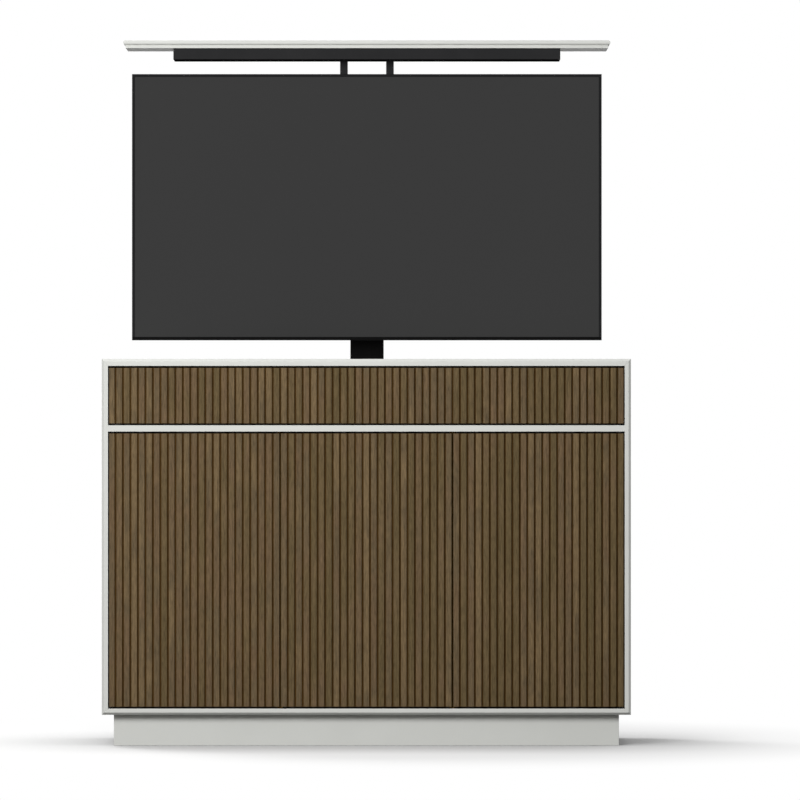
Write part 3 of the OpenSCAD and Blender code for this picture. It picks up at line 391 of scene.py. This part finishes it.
# moulded acetal: a waxy soft black, with a faint flow mottle about 2 mm wide
flow = add(tree, "ShaderNodeTexNoise",
           {"Vector": place, "Scale": 480.0, "Detail": 3.0, "Distortion": 0.6}).outputs["Fac"]
vary(shader, tint=(flow, "#141312", "#1E1C1A"), gloss=(flow, 0.42, 0.55))


def dress(finish, *nodes):
    """Gives CAD nodes that keep their own shape a finish."""
    for node in nodes:
        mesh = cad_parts[node].data
        mesh.materials.clear()
        mesh.materials.append(finish)


dress(black_acetal, "pivot_bushes")
dress(zinc, "shelf_pins")
# black-passivated zinc on turned steel: a dark metal with faint tool rings of 0.5 mm, drawn at 2 mm
black_zinc, tree, shader, place = surface("black_zinc_plated_steel", Metallic=1.0)
tool = add(tree, "ShaderNodeTexWave",
           {"Vector": place, "Scale": 160.0, "Distortion": 0.8}, bands_direction="Z").outputs["Fac"]
vary(shader, tint=(tool, "#1B1A19", "#282725"), gloss=(tool, 0.38, 0.52))
dress(black_zinc, "left_door_pins", "centre_door_pins", "right_door_pins", "flap_pins")

# Fluted fronts
# Three doors and one wide flap: 14 mm walnut slats on a 13 mm board, 5 mm apart, upright. The board's face
# between the slats is darkened: painted shade for the grooves.
# The slats are wrapped in veneer from many leaves, so each has its own tone, and oiled matt.
walnut, tree, shader, place = surface("oiled_walnut_veneer", IOR=1.48, Specular_IOR_Level=0.12)
# oiled walnut: brown to grey-brown streaks along the slat, 4 mm wide and a hand long, with short darker
# lines of 1 mm drawn at 3 mm, open pores as dashes, and a low sheen where the wood is dense
leaf = add(tree, "ShaderNodeAttribute", attribute_name="slat_tone").outputs["Fac"]
# every slat has its grain from another place, up to 6 m along the log
log_length = 6.0
apart = add(tree, "ShaderNodeMath", {0: leaf, 1: log_length}, operation="MULTIPLY")
apart = add(tree, "ShaderNodeCombineXYZ", {"Y": apart.outputs[0], "Z": apart.outputs[0]})
own = add(tree, "ShaderNodeVectorMath", {0: place, 1: apart.outputs[0]}, operation="ADD").outputs[0]
streak_place = add(tree, "ShaderNodeMapping", {"Vector": own, "Scale": (250.0, 250.0, 5.0)})
streak = add(tree, "ShaderNodeTexNoise",
             {"Vector": streak_place.outputs[0], "Scale": 1.0, "Detail": 3.0}).outputs["Fac"]
line_place = add(tree, "ShaderNodeMapping", {"Vector": own, "Scale": (360.0, 360.0, 45.0)})
line = add(tree, "ShaderNodeTexNoise",
           {"Vector": line_place.outputs[0], "Scale": 1.0, "Detail": 4.0}).outputs["Fac"]
pore_place = add(tree, "ShaderNodeMapping", {"Vector": own, "Scale": (1300.0, 1300.0, 55.0)})
pore = add(tree, "ShaderNodeTexNoise",
           {"Vector": pore_place.outputs[0], "Scale": 1.0, "Detail": 1.0}).outputs["Fac"]
hue_place = add(tree, "ShaderNodeMapping", {"Vector": own, "Scale": (14.0, 14.0, 6.0)})
hue = add(tree, "ShaderNodeTexNoise",
          {"Vector": hue_place.outputs[0], "Scale": 1.0, "Detail": 3.0}).outputs["Fac"]
blend = add(tree, "ShaderNodeMapRange",
            {"Value": hue, "From Min": 0.3, "From Max": 0.7, "To Min": -0.36, "To Max": 0.36})
blend = add(tree, "ShaderNodeMath", {0: leaf, 1: blend.outputs[0]}, operation="ADD", use_clamp=True)
leaves = add(tree, "ShaderNodeValToRGB", {"Fac": blend.outputs[0]})
ramp = leaves.color_ramp.elements
ramp[0].color = srgb("#6C5C40")
ramp[1].color = srgb("#806C4F")
for at, tone in ((0.3, "#746246"), (0.55, "#78634A"), (0.8, "#716149")):
    ramp.new(at).color = srgb(tone)
dark = add(tree, "ShaderNodeMapRange",
           {"Value": streak, "From Min": 0.3, "From Max": 0.7, "To Min": 0.85, "To Max": 1.11})
thin = add(tree, "ShaderNodeMapRange",
           {"Value": line, "From Min": 0.32, "From Max": 0.68, "To Min": 0.78, "To Max": 1.16})
open_pore = add(tree, "ShaderNodeMapRange",
                {"Value": pore, "From Min": 0.60, "From Max": 0.72, "To Min": 1.0, "To Max": 0.62})
grain = add(tree, "ShaderNodeMath", {0: dark.outputs[0], 1: thin.outputs[0]}, operation="MULTIPLY")
grain = add(tree, "ShaderNodeMath", {0: grain.outputs[0], 1: open_pore.outputs[0]}, operation="MULTIPLY")
# painted shade: the board's face at the groove bottoms is multiplied by a darker brown
backing = add(tree, "ShaderNodeAttribute", attribute_name="backing").outputs["Fac"]
groove_shaded = add(tree, "ShaderNodeMixRGB",
              {"Fac": backing, "Color1": leaves.outputs["Color"], "Color2": srgb("#BFA579")},
              blend_type="MULTIPLY")
colour = add(tree, "ShaderNodeMixRGB",
             {"Fac": 1.0, "Color1": groove_shaded.outputs["Color"], "Color2": grain.outputs[0]},
             blend_type="MULTIPLY")
tree.links.new(colour.outputs["Color"], shader.inputs["Base Color"])
vary(shader, gloss=(line, 0.46, 0.66), relief=(grain.outputs[0], 0.35, 0.0003))

fluted, given = sized_tree("fluted_front", {
    "Slats": 23, "Pitch": 0.0192, "Slat width": 0.0142, "First slat": 0.0, "Width": 0.436, "Height": 0.698,
    "Groove depth": 0.006, "Let in": 0.001, "Board": 0.013, "Slat edge": 0.0008, "Place": (0, 0, 0),
    "Seed": 0})
# one slat: a rectangle with its edges rounded, let into the board behind it, drawn up to full height
deep = add(fluted, "ShaderNodeMath", {0: given["Groove depth"], 1: given["Let in"]}, operation="ADD")
section = add(fluted, "GeometryNodeCurvePrimitiveQuadrilateral",
              {"Width": given["Slat width"], "Height": deep.outputs[0]}, mode="RECTANGLE")
section = add(fluted, "GeometryNodeFilletCurve",
              {"Curve": section.outputs[0], "Count": 3, "Radius": given["Slat edge"]}, mode="POLY")
foot = add(fluted, "GeometryNodeFillCurve", {"Curve": section.outputs[0]}, mode="NGONS")
body = add(fluted, "GeometryNodeExtrudeMesh",
           {"Mesh": foot.outputs[0], "Offset Scale": given["Height"], "Individual": False}, mode="FACES")
under = add(fluted, "GeometryNodeFlipFaces", {"Mesh": foot.outputs[0]})
slat = add(fluted, "GeometryNodeJoinGeometry", {0: [body.outputs["Mesh"], under.outputs[0]]})
slat = add(fluted, "GeometryNodeMergeByDistance", {"Geometry": slat.outputs[0], "Distance": 1e-6})
# the slats stand on an even pitch, and the front's own edge cuts the outermost ones narrower
number = add(fluted, "GeometryNodeInputIndex").outputs[0]
left = add(fluted, "ShaderNodeMath",
           {0: number, 1: given["Pitch"], 2: given["First slat"]}, operation="MULTIPLY_ADD")
right = add(fluted, "ShaderNodeMath", {0: left.outputs[0], 1: given["Slat width"]}, operation="ADD")
left = add(fluted, "ShaderNodeMath", {0: left.outputs[0], 1: 0.0}, operation="MAXIMUM")
right = add(fluted, "ShaderNodeMath", {0: right.outputs[0], 1: given["Width"]}, operation="MINIMUM")
across = add(fluted, "ShaderNodeMath", {0: left.outputs[0], 1: right.outputs[0]}, operation="ADD")
across = add(fluted, "ShaderNodeMath", {0: across.outputs[0], 1: 0.5}, operation="MULTIPLY")
middle = add(fluted, "ShaderNodeMath", {0: deep.outputs[0], 1: 0.5}, operation="MULTIPLY")
spot = add(fluted, "ShaderNodeCombineXYZ", {"X": across.outputs[0], "Y": middle.outputs[0]})
wide = add(fluted, "ShaderNodeMath", {0: right.outputs[0], 1: left.outputs[0]}, operation="SUBTRACT")
wide = add(fluted, "ShaderNodeMath", {0: wide.outputs[0], 1: given["Slat width"]}, operation="DIVIDE")
wide = add(fluted, "ShaderNodeCombineXYZ", {"X": wide.outputs[0], "Y": 1.0, "Z": 1.0})
row = add(fluted, "GeometryNodePoints", {"Count": given["Slats"], "Position": spot.outputs[0]})
slats = add(fluted, "GeometryNodeInstanceOnPoints",
            {"Points": row.outputs[0], "Instance": slat.outputs[0], "Scale": wide.outputs[0]})
luck = add(fluted, "FunctionNodeRandomValue", {"Seed": given["Seed"]}, data_type="FLOAT")
slats = add(fluted, "GeometryNodeStoreNamedAttribute",
            {"Geometry": slats.outputs[0], "Name": "slat_tone", "Value": luck.outputs[1]},
            data_type="FLOAT", domain="INSTANCE")
size = add(fluted, "ShaderNodeCombineXYZ", {"X": given["Width"], "Y": given["Board"], "Z": given["Height"]})
board = add(fluted, "GeometryNodeMeshCube", {"Size": size.outputs[0]})
centre = add(fluted, "ShaderNodeVectorMath", {0: size.outputs[0], 1: (0.5, 0.5, 0.5)}, operation="MULTIPLY")
back = add(fluted, "ShaderNodeCombineXYZ", {"Y": given["Groove depth"]})
centre = add(fluted, "ShaderNodeVectorMath", {0: centre.outputs[0], 1: back.outputs[0]}, operation="ADD")
board = add(fluted, "GeometryNodeTransform",
            {"Geometry": board.outputs["Mesh"], "Translation": centre.outputs[0]})
# only the face behind the slats is darkened: painted shade at the bottom of the grooves
facing = add(fluted, "GeometryNodeInputNormal").outputs[0]
facing = add(fluted, "ShaderNodeSeparateXYZ", {"Vector": facing}).outputs["Y"]
front = add(fluted, "ShaderNodeMath", {0: facing, 1: -0.5}, operation="LESS_THAN")
board = add(fluted, "GeometryNodeStoreNamedAttribute",
            {"Geometry": board.outputs[0], "Name": "backing", "Value": front.outputs[0]},
            data_type="FLOAT", domain="FACE")
whole = add(fluted, "GeometryNodeJoinGeometry", {0: [slats.outputs[0], board.outputs[0]]})
placed = add(fluted, "GeometryNodeTransform", {"Geometry": whole.outputs[0], "Translation": given["Place"]})
close_tree(fluted, placed.outputs[0], given["Finish"])

groove = 0.005
door_slats = 23
flap_slats = 3 * door_slats
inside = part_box("left_side_panel")[1].x
pitch = (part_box("right_side_panel")[0].x - inside) / flap_slats
first_seed = 11
fronts = (("left_door", 0, door_slats), ("centre_door", door_slats, door_slats),
          ("right_door", 2 * door_slats, door_slats), ("flap", 0, flap_slats))
for seed, (node, before, count) in enumerate(fronts, first_seed):
    low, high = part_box(node)
    grown(node + "_slats", node + "_body", fluted,
          {"Slats": count, "Pitch": pitch, "Slat width": pitch - groove, "Width": high.x - low.x,
           "First slat": inside + before * pitch + groove / 2 - low.x, "Height": high.z - low.z,
           "Place": tuple(low), "Seed": seed, "Finish": walnut}, nodes=(node,))

# Seam strips
# A strip of brown wool felt, 0.8 mm thick, on the front edge of each partition. It keeps light and dust
# out of the seam between two doors and stops them rattling. Cut from a roll and glued on.
felt, tree, shader, place = surface("brown_wool_felt", Specular_IOR_Level=0.05, Sheen_Weight=0.1)
# pressed wool: matt brown with a lint of short pale hairs, 0.5 mm thick, drawn at 2 mm
lint = add(tree, "ShaderNodeTexNoise",
           {"Vector": place, "Scale": 500.0, "Detail": 4.0, "Distortion": 1.2}).outputs["Fac"]
vary(shader, tint=(lint, "#674D25", "#806338"), gloss=(lint, 0.88, 1.0), relief=(lint, 0.5, 0.0004))


def glued_strips(name, body, slot, finish, *faces, thick):
    """Thin strips with softened edges, glued on faces that look to the front.
    A face is given by its lowest and highest corner."""
    strips = bmesh.new()
    for low, high in faces:
        size = Vector((high[0] - low[0], thick, high[2] - low[2]))
        middle = Vector(((low[0] + high[0]) / 2, low[1] - thick / 2, (low[2] + high[2]) / 2))
        bmesh.ops.create_cube(strips, size=1.0, matrix=Matrix.LocRotScale(middle, None, size))
    bmesh.ops.bevel(strips, geom=strips.edges[:], offset=thick / 3, segments=2, affect="EDGES", profile=0.5)
    mesh = bpy.data.meshes.new(name)
    strips.to_mesh(mesh)
    strips.free()
    mesh.shade_smooth()
    mesh.materials.append(finish)
    piece = bpy.data.objects.new(name, mesh)
    scene.collection.objects.link(piece)
    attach(piece, body)


glued_strips("seam_strips", "cabinet", "dark_plastic", felt,
             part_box("left_partition"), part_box("right_partition"), thick=0.0008)

# Lift base
# A 5 mm steel plate bolted to the cabinet floor carries the column. Cut by laser, powder coated in
# black, and held by four M8 bolts with washers.
powder, tree, shader, place = surface("black_powder_coat", IOR=1.5, Specular_IOR_Level=0.0)
# baked powder: a matt soft black with a fine leathery texture of 0.8 mm, drawn at 2 mm, and no mirror
leather = add(tree, "ShaderNodeTexNoise",
              {"Vector": place, "Scale": 520.0, "Detail": 3.0, "Roughness": 0.6}).outputs["Fac"]
cloud = add(tree, "ShaderNodeTexNoise", {"Vector": place, "Scale": 18.0, "Detail": 3.0}).outputs["Fac"]
vary(shader, tint=(cloud, "#2E2E2F", "#363637"), gloss=(leather, 0.72, 0.88), relief=(leather, 0.25, 0.0003))
eased("base_plate_steel", "cabinet", "black_steel", powder, "base_plate", radius=0.0005)
hexagon = {"Head sides": 6, "Head radius": 0.0075, "Head top": 0.0069, "Head height": 0.0046,
           "Recess sides": 24, "Recess radius": 0.0052, "Recess depth": 0.0008, "Washer radius": 0.0088,
           "Washer height": 0.0012, "Shank radius": 0.004, "Finish": zinc}


def corners_of(box, *inset):
    """The places a little way in from a box's corners, along each axis, for spread."""
    return [(low + far, high - far) for low, high, far in zip(*box, inset)]


upwards = (0, 0, 1)
xs, ys, zs = corners_of(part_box("base_plate"), 0.02, 0.018, 0.0)
spots = spread(xs, ys, zs[1:], upwards, reach=0.016)
grown("base_plate_bolts", "cabinet", fastener, hexagon, spots, ("lift_bolts",))

# Gearbox and motor
# A ribbed die-cast housing on the base plate closes the worm drive, and a tubular motor is flanged
# to its right side. The casting is blasted bare; the motor's steel can is painted black.
cast, tree, shader, place = surface("blasted_cast_aluminium", Metallic=1.0)
# die casting, blasted: dull grey metal with a fine pitted skin of 0.7 mm drawn at 1.5 mm
pits = add(tree, "ShaderNodeTexNoise", {"Vector": place, "Scale": 700.0, "Detail": 4.0}).outputs["Fac"]
cloud = add(tree, "ShaderNodeTexNoise", {"Vector": place, "Scale": 40.0, "Detail": 3.0}).outputs["Fac"]
vary(shader, tint=(cloud, "#85878A", "#A3A5A7"), gloss=(pits, 0.45, 0.68), relief=(pits, 0.4, 0.0004))
eased("gearbox_casting", "cabinet", "cast_aluminium", cast, "gearbox", radius=0.0008)
eased("motor_can", "cabinet", "black_steel", powder, "motor", radius=0.0006)
dress(zinc, "shaft_bearings")
socket_cap = {"Head radius": 0.0043, "Head top": 0.0041, "Head height": 0.0046, "Recess radius": 0.0023,
              "Recess depth": 0.005, "Washer radius": 0.0055, "Washer height": 0.0006,
              "Shank radius": 0.0024, "Finish": zinc}
flange = 0.008
xs, ys, zs = corners_of(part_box("gearbox"), 0.0068, 0.008, flange)
spots = spread(xs, ys, zs[:1], upwards, reach=0.007)
grown("gearbox_screws", "cabinet", fastener, socket_cap, spots)

rings, given = sized_tree("cooling_rings", {
    "Rings": 7, "Pitch": 0.008, "Radius": 0.0252, "Thickness": 0.0022, "Place": (0, 0, 0)})
ring = add(rings, "GeometryNodeMeshCylinder",
           {"Vertices": 64, "Radius": given["Radius"], "Depth": given["Thickness"]})
ring = add(rings, "GeometryNodeTransform",
           {"Geometry": ring.outputs["Mesh"], "Rotation": (0, math.radians(90), 0)})
step = add(rings, "ShaderNodeCombineXYZ", {"X": given["Pitch"]})
row = add(rings, "GeometryNodeMeshLine",
          {"Count": given["Rings"], "Start Location": given["Place"], "Offset": step.outputs[0]},
          mode="OFFSET")
many = add(rings, "GeometryNodeInstanceOnPoints", {"Points": row.outputs[0], "Instance": ring.outputs[0]})
close_tree(rings, many.outputs[0], given["Finish"])
low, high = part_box("motor")
axis = (low + high) / 2
first_ring = low.x + 0.032
can_end = high.x - 0.012
screw_circle = 0.0226
to_the_right = (1, 0, 0)
screw_reach = 0.005
grown("motor_rings", "cabinet", rings,
      {"Place": (first_ring, axis.y, axis.z), "Finish": powder})
spots = [((can_end, axis.y + screw_circle * math.cos(a), axis.z + screw_circle * math.sin(a)),
          to_the_right, screw_reach) for a in (0.52, 2.62, 4.71)]
grown("motor_end_screws", "cabinet", fastener,
      {"Head radius": 0.0013, "Head top": 0.0011, "Head height": 0.001, "Recess radius": 0.0006,
       "Recess depth": 0.0008, "Washer radius": 0.00135, "Washer height": 0.0001, "Shank radius": 0.0008,
       "Finish": zinc}, spots)

# Control box
# The lift's control stands on the cabinet floor, left of the column: a moulded black box with three
# motor sockets and a mains inlet at its back, and cooling slots between ribs on its top.
moulded, tree, shader, place = surface("black_moulded_abs", IOR=1.53, Specular_IOR_Level=0.08)
# spark-eroded mould skin: soft black with an even grit of 0.4 mm, drawn at 1.5 mm, and no shine
grit = add(tree, "ShaderNodeTexNoise", {"Vector": place, "Scale": 680.0, "Detail": 2.0}).outputs["Fac"]
cloud = add(tree, "ShaderNodeTexNoise", {"Vector": place, "Scale": 10.0, "Detail": 2.0}).outputs["Fac"]
vary(shader, tint=(cloud, "#1C1C1D", "#232324"), gloss=(grit, 0.50, 0.64), relief=(grit, 0.2, 0.0002))
eased("control_box_case", "cabinet", "dark_plastic", moulded, "control_box", radius=0.0012)

bars, given = sized_tree("moulded_bars", {
    "Bars": 12, "Pitch": (0.006, 0, 0), "Size": (0.002, 0.04, 0.0016), "Place": (0, 0, 0)})
bar = add(bars, "GeometryNodeMeshCube", {"Size": given["Size"]})
row = add(bars, "GeometryNodeMeshLine",
          {"Count": given["Bars"], "Start Location": given["Place"], "Offset": given["Pitch"]},
          mode="OFFSET")
many = add(bars, "GeometryNodeInstanceOnPoints", {"Points": row.outputs[0], "Instance": bar.outputs["Mesh"]})
close_tree(bars, many.outputs[0], given["Finish"])
low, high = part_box("control_box")
first_rib = low.x + 0.043
grown("control_box_ribs", "cabinet", bars,
      {"Bars": 15, "Place": (first_rib, (low.y + high.y) / 2, high.z), "Finish": moulded})

# Outer column
# A rectangular steel tube with rounded corners, welded and powder coated, stands on the gearbox. A
# folded bracket ties its top to the back panel; glide pads and a wiper collar close its mouth.
eased("outer_column_tube", "cabinet", "black_steel", powder, "outer_column", radius=0.0004)
eased("wall_bracket_steel", "cabinet", "black_steel", powder, "wall_bracket", radius=0.0005)
eased("outer_wiper_collar", "cabinet", "dark_plastic", moulded, "outer_collar", radius=0.0008)
acetal, tree, shader, place = surface("white_acetal", IOR=1.48, Specular_IOR_Level=0.5)
# machined acetal: waxy and slightly milky, with a faint flow mottle about 2 mm wide
flow = add(tree, "ShaderNodeTexNoise",
           {"Vector": place, "Scale": 480.0, "Detail": 3.0, "Distortion": 0.6}).outputs["Fac"]
vary(shader, tint=(flow, "#DEDCD5", "#ECEAE4"), gloss=(flow, 0.30, 0.42))
dress(acetal, "outer_glides")
bracket_sheet = 0.003
to_the_front = (0, -1, 0)
xs, ys, zs = corners_of(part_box("wall_bracket"), 0.018, bracket_sheet, 0.012)
spots = spread(xs, ys[1:], zs, to_the_front, reach=0.0075)
grown("wall_bracket_screws", "cabinet", fastener, {"Finish": zinc}, spots, ("lift_bolts",))

# Spindle drive
# A right-hand spindle and a square bar stand in the gearbox. The bar turns the hollow left-hand
# spindle of the second stage. Rolled steel in bronze-coloured brass nuts, in cast end blocks.
lead = 0.016
starts = 4
for node, hand in (("lower_spindle", 1.0), ("upper_spindle", -1.0)):
    # rolled multi-start thread, 16 mm lead: bright flanks between darker roots, 4 mm apart
    threaded, tree, shader, place = surface("rolled_steel_" + node, Metallic=1.0)
    low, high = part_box(node)
    axis = add(tree, "ShaderNodeMapping",
               {"Vector": place, "Location": (-(low.x + high.x) / 2, -(low.y + high.y) / 2, 0)})
    part = add(tree, "ShaderNodeSeparateXYZ", {"Vector": axis.outputs[0]}).outputs
    angle = add(tree, "ShaderNodeMath", {0: part["Y"], 1: part["X"]}, operation="ARCTAN2")
    angle = add(tree, "ShaderNodeMath", {0: angle.outputs[0], 1: -hand * starts / math.tau},
                operation="MULTIPLY")
    climb = add(tree, "ShaderNodeMath", {0: part["Z"], 1: starts / lead}, operation="MULTIPLY")
    phase = add(tree, "ShaderNodeMath", {0: climb.outputs[0], 1: angle.outputs[0]}, operation="ADD")
    crest = add(tree, "ShaderNodeMath", {0: phase.outputs[0], 1: 0.5}, operation="PINGPONG")
    tint = add(tree, "ShaderNodeValToRGB", {"Fac": crest.outputs[0]})
    tint.color_ramp.elements[0].color = srgb("#4C4B49")
    tint.color_ramp.elements[1].color = srgb("#C3C6C8")
    tint.color_ramp.elements[1].position = 0.4
    tree.links.new(tint.outputs["Color"], shader.inputs["Base Color"])
    vary(shader, gloss=(crest.outputs[0], 0.5, 0.2), relief=(crest.outputs[0], 0.8, 0.0012))
    dress(threaded, node)
brass, tree, shader, place = surface("turned_brass", Metallic=1.0)
# turned brass: yellow metal with tool rings of 0.5 mm, drawn at 1 mm, and a light tarnish
tool = add(tree, "ShaderNodeTexWave",
           {"Vector": place, "Scale": 320.0, "Distortion": 0.6}, bands_direction="Z").outputs["Fac"]
tarnish = add(tree, "ShaderNodeTexNoise", {"Vector": place, "Scale": 130.0, "Detail": 4.0}).outputs["Fac"]
vary(shader, tint=(tarnish, "#A98343", "#CDA963"), gloss=(tool, 0.24, 0.40))
dress(brass, "lower_nut", "upper_nut")
dress(zinc, "drive_bar", "upper_bearing")
dress(cast, "middle_block", "inner_block", "head_block")

# Moving tubes
# Two more tubes telescope out of the outer one, sliding on acetal pads. The middle one shows between
# the cabinet and the television. Both tubes have a darker coat than the other steel: a dead flat black.
flat_black, tree, shader, place = surface("dead_flat_black_coat", IOR=1.45, Specular_IOR_Level=0.05)
# dip coat rubbed flat: almost no sheen, with faint upright rub lines, 2 mm wide, where the pads slide
rub_place = add(tree, "ShaderNodeMapping", {"Vector": place, "Scale": (420.0, 420.0, 6.0)})
rub = add(tree, "ShaderNodeTexNoise",
          {"Vector": rub_place.outputs[0], "Scale": 1.0, "Detail": 3.0}).outputs["Fac"]
vary(shader, tint=(rub, "#0B0B0B", "#121212"), gloss=(rub, 0.55, 0.72))
eased("middle_column_tube", "middle_stage", "black_steel", flat_black, "middle_column", radius=0.0004)
eased("inner_column_tube", "lift_head", "black_steel", flat_black, "inner_column", radius=0.0004)
eased("middle_wiper_collar", "middle_stage", "dark_plastic", moulded, "middle_collar", radius=0.0008)
dress(acetal, "middle_glides", "inner_glides")

# Television mount
# A folded plate hangs from the head of the inner tube. Two channels cross it, and two upright ones
# are bolted to the television's four fixing points. Pressed steel with the black powder coat.
for part_name in ("mount_plate", "cross_rails", "tv_brackets"):
    eased(part_name + "_steel", "lift_head", "black_steel", powder, part_name, radius=0.0005)
m6 = {"Head sides": 6, "Head radius": 0.0057, "Head top": 0.0053, "Head height": 0.0026,
      "Recess sides": 24, "Recess radius": 0.0038, "Recess depth": 0.0006, "Washer radius": 0.0064,
      "Washer height": 0.0008, "Shank radius": 0.003, "Finish": zinc}
low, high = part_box("tv_bezel")
tv_z = (low.z + high.z) / 2
low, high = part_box("mount_plate")
plate_back = low.y + 0.003
column_y = 0.141
arm_x = 0.06
bolt_reach = 0.009
# four bolts hold the rails, four the lid arms, four the head of the inner tube and four the arms' feet
spots = spread((-0.066, 0.066), (plate_back,), (tv_z - 0.09, tv_z + 0.09), to_the_back, bolt_reach)
spots += spread((-arm_x, arm_x), (plate_back,), (tv_z + 0.142, tv_z + 0.176), to_the_back, bolt_reach)
spots += spread((-0.02, 0.02), (column_y - 0.009, column_y + 0.009), (high.z,), upwards, reach=0.02)
low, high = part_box("lid_arms")
arm_y = (low.y + high.y) / 2
spots += spread((-arm_x, arm_x), (arm_y - 0.016, arm_y + 0.016), (high.z,), upwards, reach=0.007)
grown("mount_hex_bolts", "lift_head", fastener, m6, spots, ("mount_bolts",))
rail_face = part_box("tv_brackets")[0].y + 0.0025
half_grid = 0.2
spots = spread((-half_grid, half_grid), (rail_face,), (tv_z - half_grid, tv_z + half_grid),
               to_the_back, reach=0.0135)
grown("tv_fixing_screws", "lift_head", fastener,
      {"Head radius": 0.006, "Head top": 0.005, "Head height": 0.003, "Recess radius": 0.0026,
       "Recess depth": 0.004, "Washer radius": 0.0062, "Washer height": 0.0004, "Shank radius": 0.003,
       "Finish": zinc}, spots, ("mount_bolts",))

# Television
# A 55 inch panel: a matt-coated screen in a narrow moulded frame, a flat black strip along its lower bar
# that is painted shade there, a flat back cover and a raised housing with slots. Small screws hold the
# covers.
panel_glass, tree, shader, place = surface("matt_coated_screen", IOR=1.5)
# etched anti-glare coat over a dark panel: black under a soft grey veil of the room, faintly uneven
etch = add(tree, "ShaderNodeTexNoise", {"Vector": place, "Scale": 1.3, "Detail": 2.0}).outputs["Fac"]
grain = add(tree, "ShaderNodeTexNoise", {"Vector": place, "Scale": 900.0, "Detail": 1.0}).outputs["Fac"]
vary(shader, tint=(etch, "#111111", "#181818"), gloss=(grain, 0.34, 0.40))
dress(panel_glass, "tv_screen")
eased("tv_bezel_frame", "lift_head", "dark_plastic", moulded, "tv_bezel", radius=0.0006)
low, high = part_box("tv_bezel")
bar_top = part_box("tv_screen")[0].z + 0.0012
from_the_end = 0.001
from_below = 0.0004
# painted shade: a flat black strip laid on the frame's lower bar, where it looks darker
glued_strips("tv_painted_shade_strip", "lift_head", "dark_plastic", flat_black,
             ((low.x + from_the_end, low.y, low.z + from_below), (high.x - from_the_end, low.y, bar_top)),
             thick=0.0006)
# the back is moulded in a ribbed skin: dark grey, ribs 3 mm apart drawn at 6 mm, and a low sheen
ribbed, tree, shader, place = surface("ribbed_dark_grey_abs", IOR=1.53, Specular_IOR_Level=0.3)
rib = add(tree, "ShaderNodeTexWave", {"Vector": place, "Scale": 52.0}, bands_direction="X").outputs["Fac"]
cloud = add(tree, "ShaderNodeTexNoise", {"Vector": place, "Scale": 12.0, "Detail": 3.0}).outputs["Fac"]
vary(shader, tint=(cloud, "#2B2B2D", "#343437"), gloss=(rib, 0.46, 0.58), relief=(rib, 0.3, 0.0008))
eased("tv_back_cover", "lift_head", "dark_plastic", ribbed, "tv_cover", radius=0.0006)
eased("tv_electronics_housing", "lift_head", "dark_plastic", ribbed, "tv_housing", radius=0.0005)
cover_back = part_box("tv_cover")[1].y
screw_reach = 0.003
outer = 0.56
edge = 0.3
heights = [tv_z + z for z in (-0.29, -0.1, 0.1, 0.29)]
spots = spread((-outer, outer), (cover_back,), heights, to_the_back, screw_reach)
spots += spread((-0.3, 0.0, 0.3), (cover_back,), (tv_z - edge, tv_z + edge), to_the_back, screw_reach)
grown("tv_cover_screws", "lift_head", fastener,
      {"Head radius": 0.0032, "Head top": 0.0026, "Head height": 0.0016, "Recess radius": 0.0013,
       "Recess depth": 0.0016, "Washer radius": 0.0034, "Washer height": 0.0001, "Shank radius": 0.0015,
       "Finish": zinc}, spots)
housing_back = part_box("tv_housing")[1].y
socket_x = 0.33
socket_shapes = (("frames", (0.017, 0.0016, 0.0075), zinc), ("tongues", (0.0145, 0.0022, 0.005), moulded))
for number, below in enumerate((0.08, 0.12), 1):
    for shape, size, finish in socket_shapes:
        grown("tv_socket_%s_%d" % (shape, number), "lift_head", bars,
              {"Bars": 3, "Pitch": (-0.026, 0, 0), "Size": size,
               "Place": (socket_x, housing_back, tv_z - below), "Finish": finish})

# Lid arms and channel
# Two flat bars rise from the mount plate in front of the column. Their feet are bolted inside a
# folded channel whose lips are screwed up into the lid core. Powder-coated steel.
eased("lid_arm_bars", "lift_head", "black_steel", powder, "lid_arms", radius=0.0008)
eased("lid_channel_steel", "lift_head", "black_steel", powder, "lid_channel", radius=0.0008)
low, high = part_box("lid_channel")
outermost = high.x - 0.04
lip = 0.011
lip_under = high.z - 0.003
downwards = (0, 0, -1)
spots = spread([x * outermost for x in (-1, -0.34, 0.34, 1)], (low.y + lip, high.y - lip), (lip_under,),
               downwards, reach=0.0095)
grown("lid_pan_screws", "lift_head", fastener,
      {"Head radius": 0.0038, "Head top": 0.0031, "Head height": 0.0022, "Recess radius": 0.0016,
       "Recess depth": 0.0024, "Washer radius": 0.0039, "Washer height": 0.0002, "Finish": zinc},
      spots, ("lid_screws",))

# Lid
# A board with half-round edges that covers the cut-out, and a smaller core board glued under it that
# drops into the cut-out. Fibreboard with the cabinet's satin lacquer.
eased("lid_core_board", "lift_head", "white_lacquer", white_lacquer, "lid_core", radius=0.0006)
eased("lid_board_panel", "lift_head", "white_lacquer", white_lacquer, "lid_board", radius=0.0003)
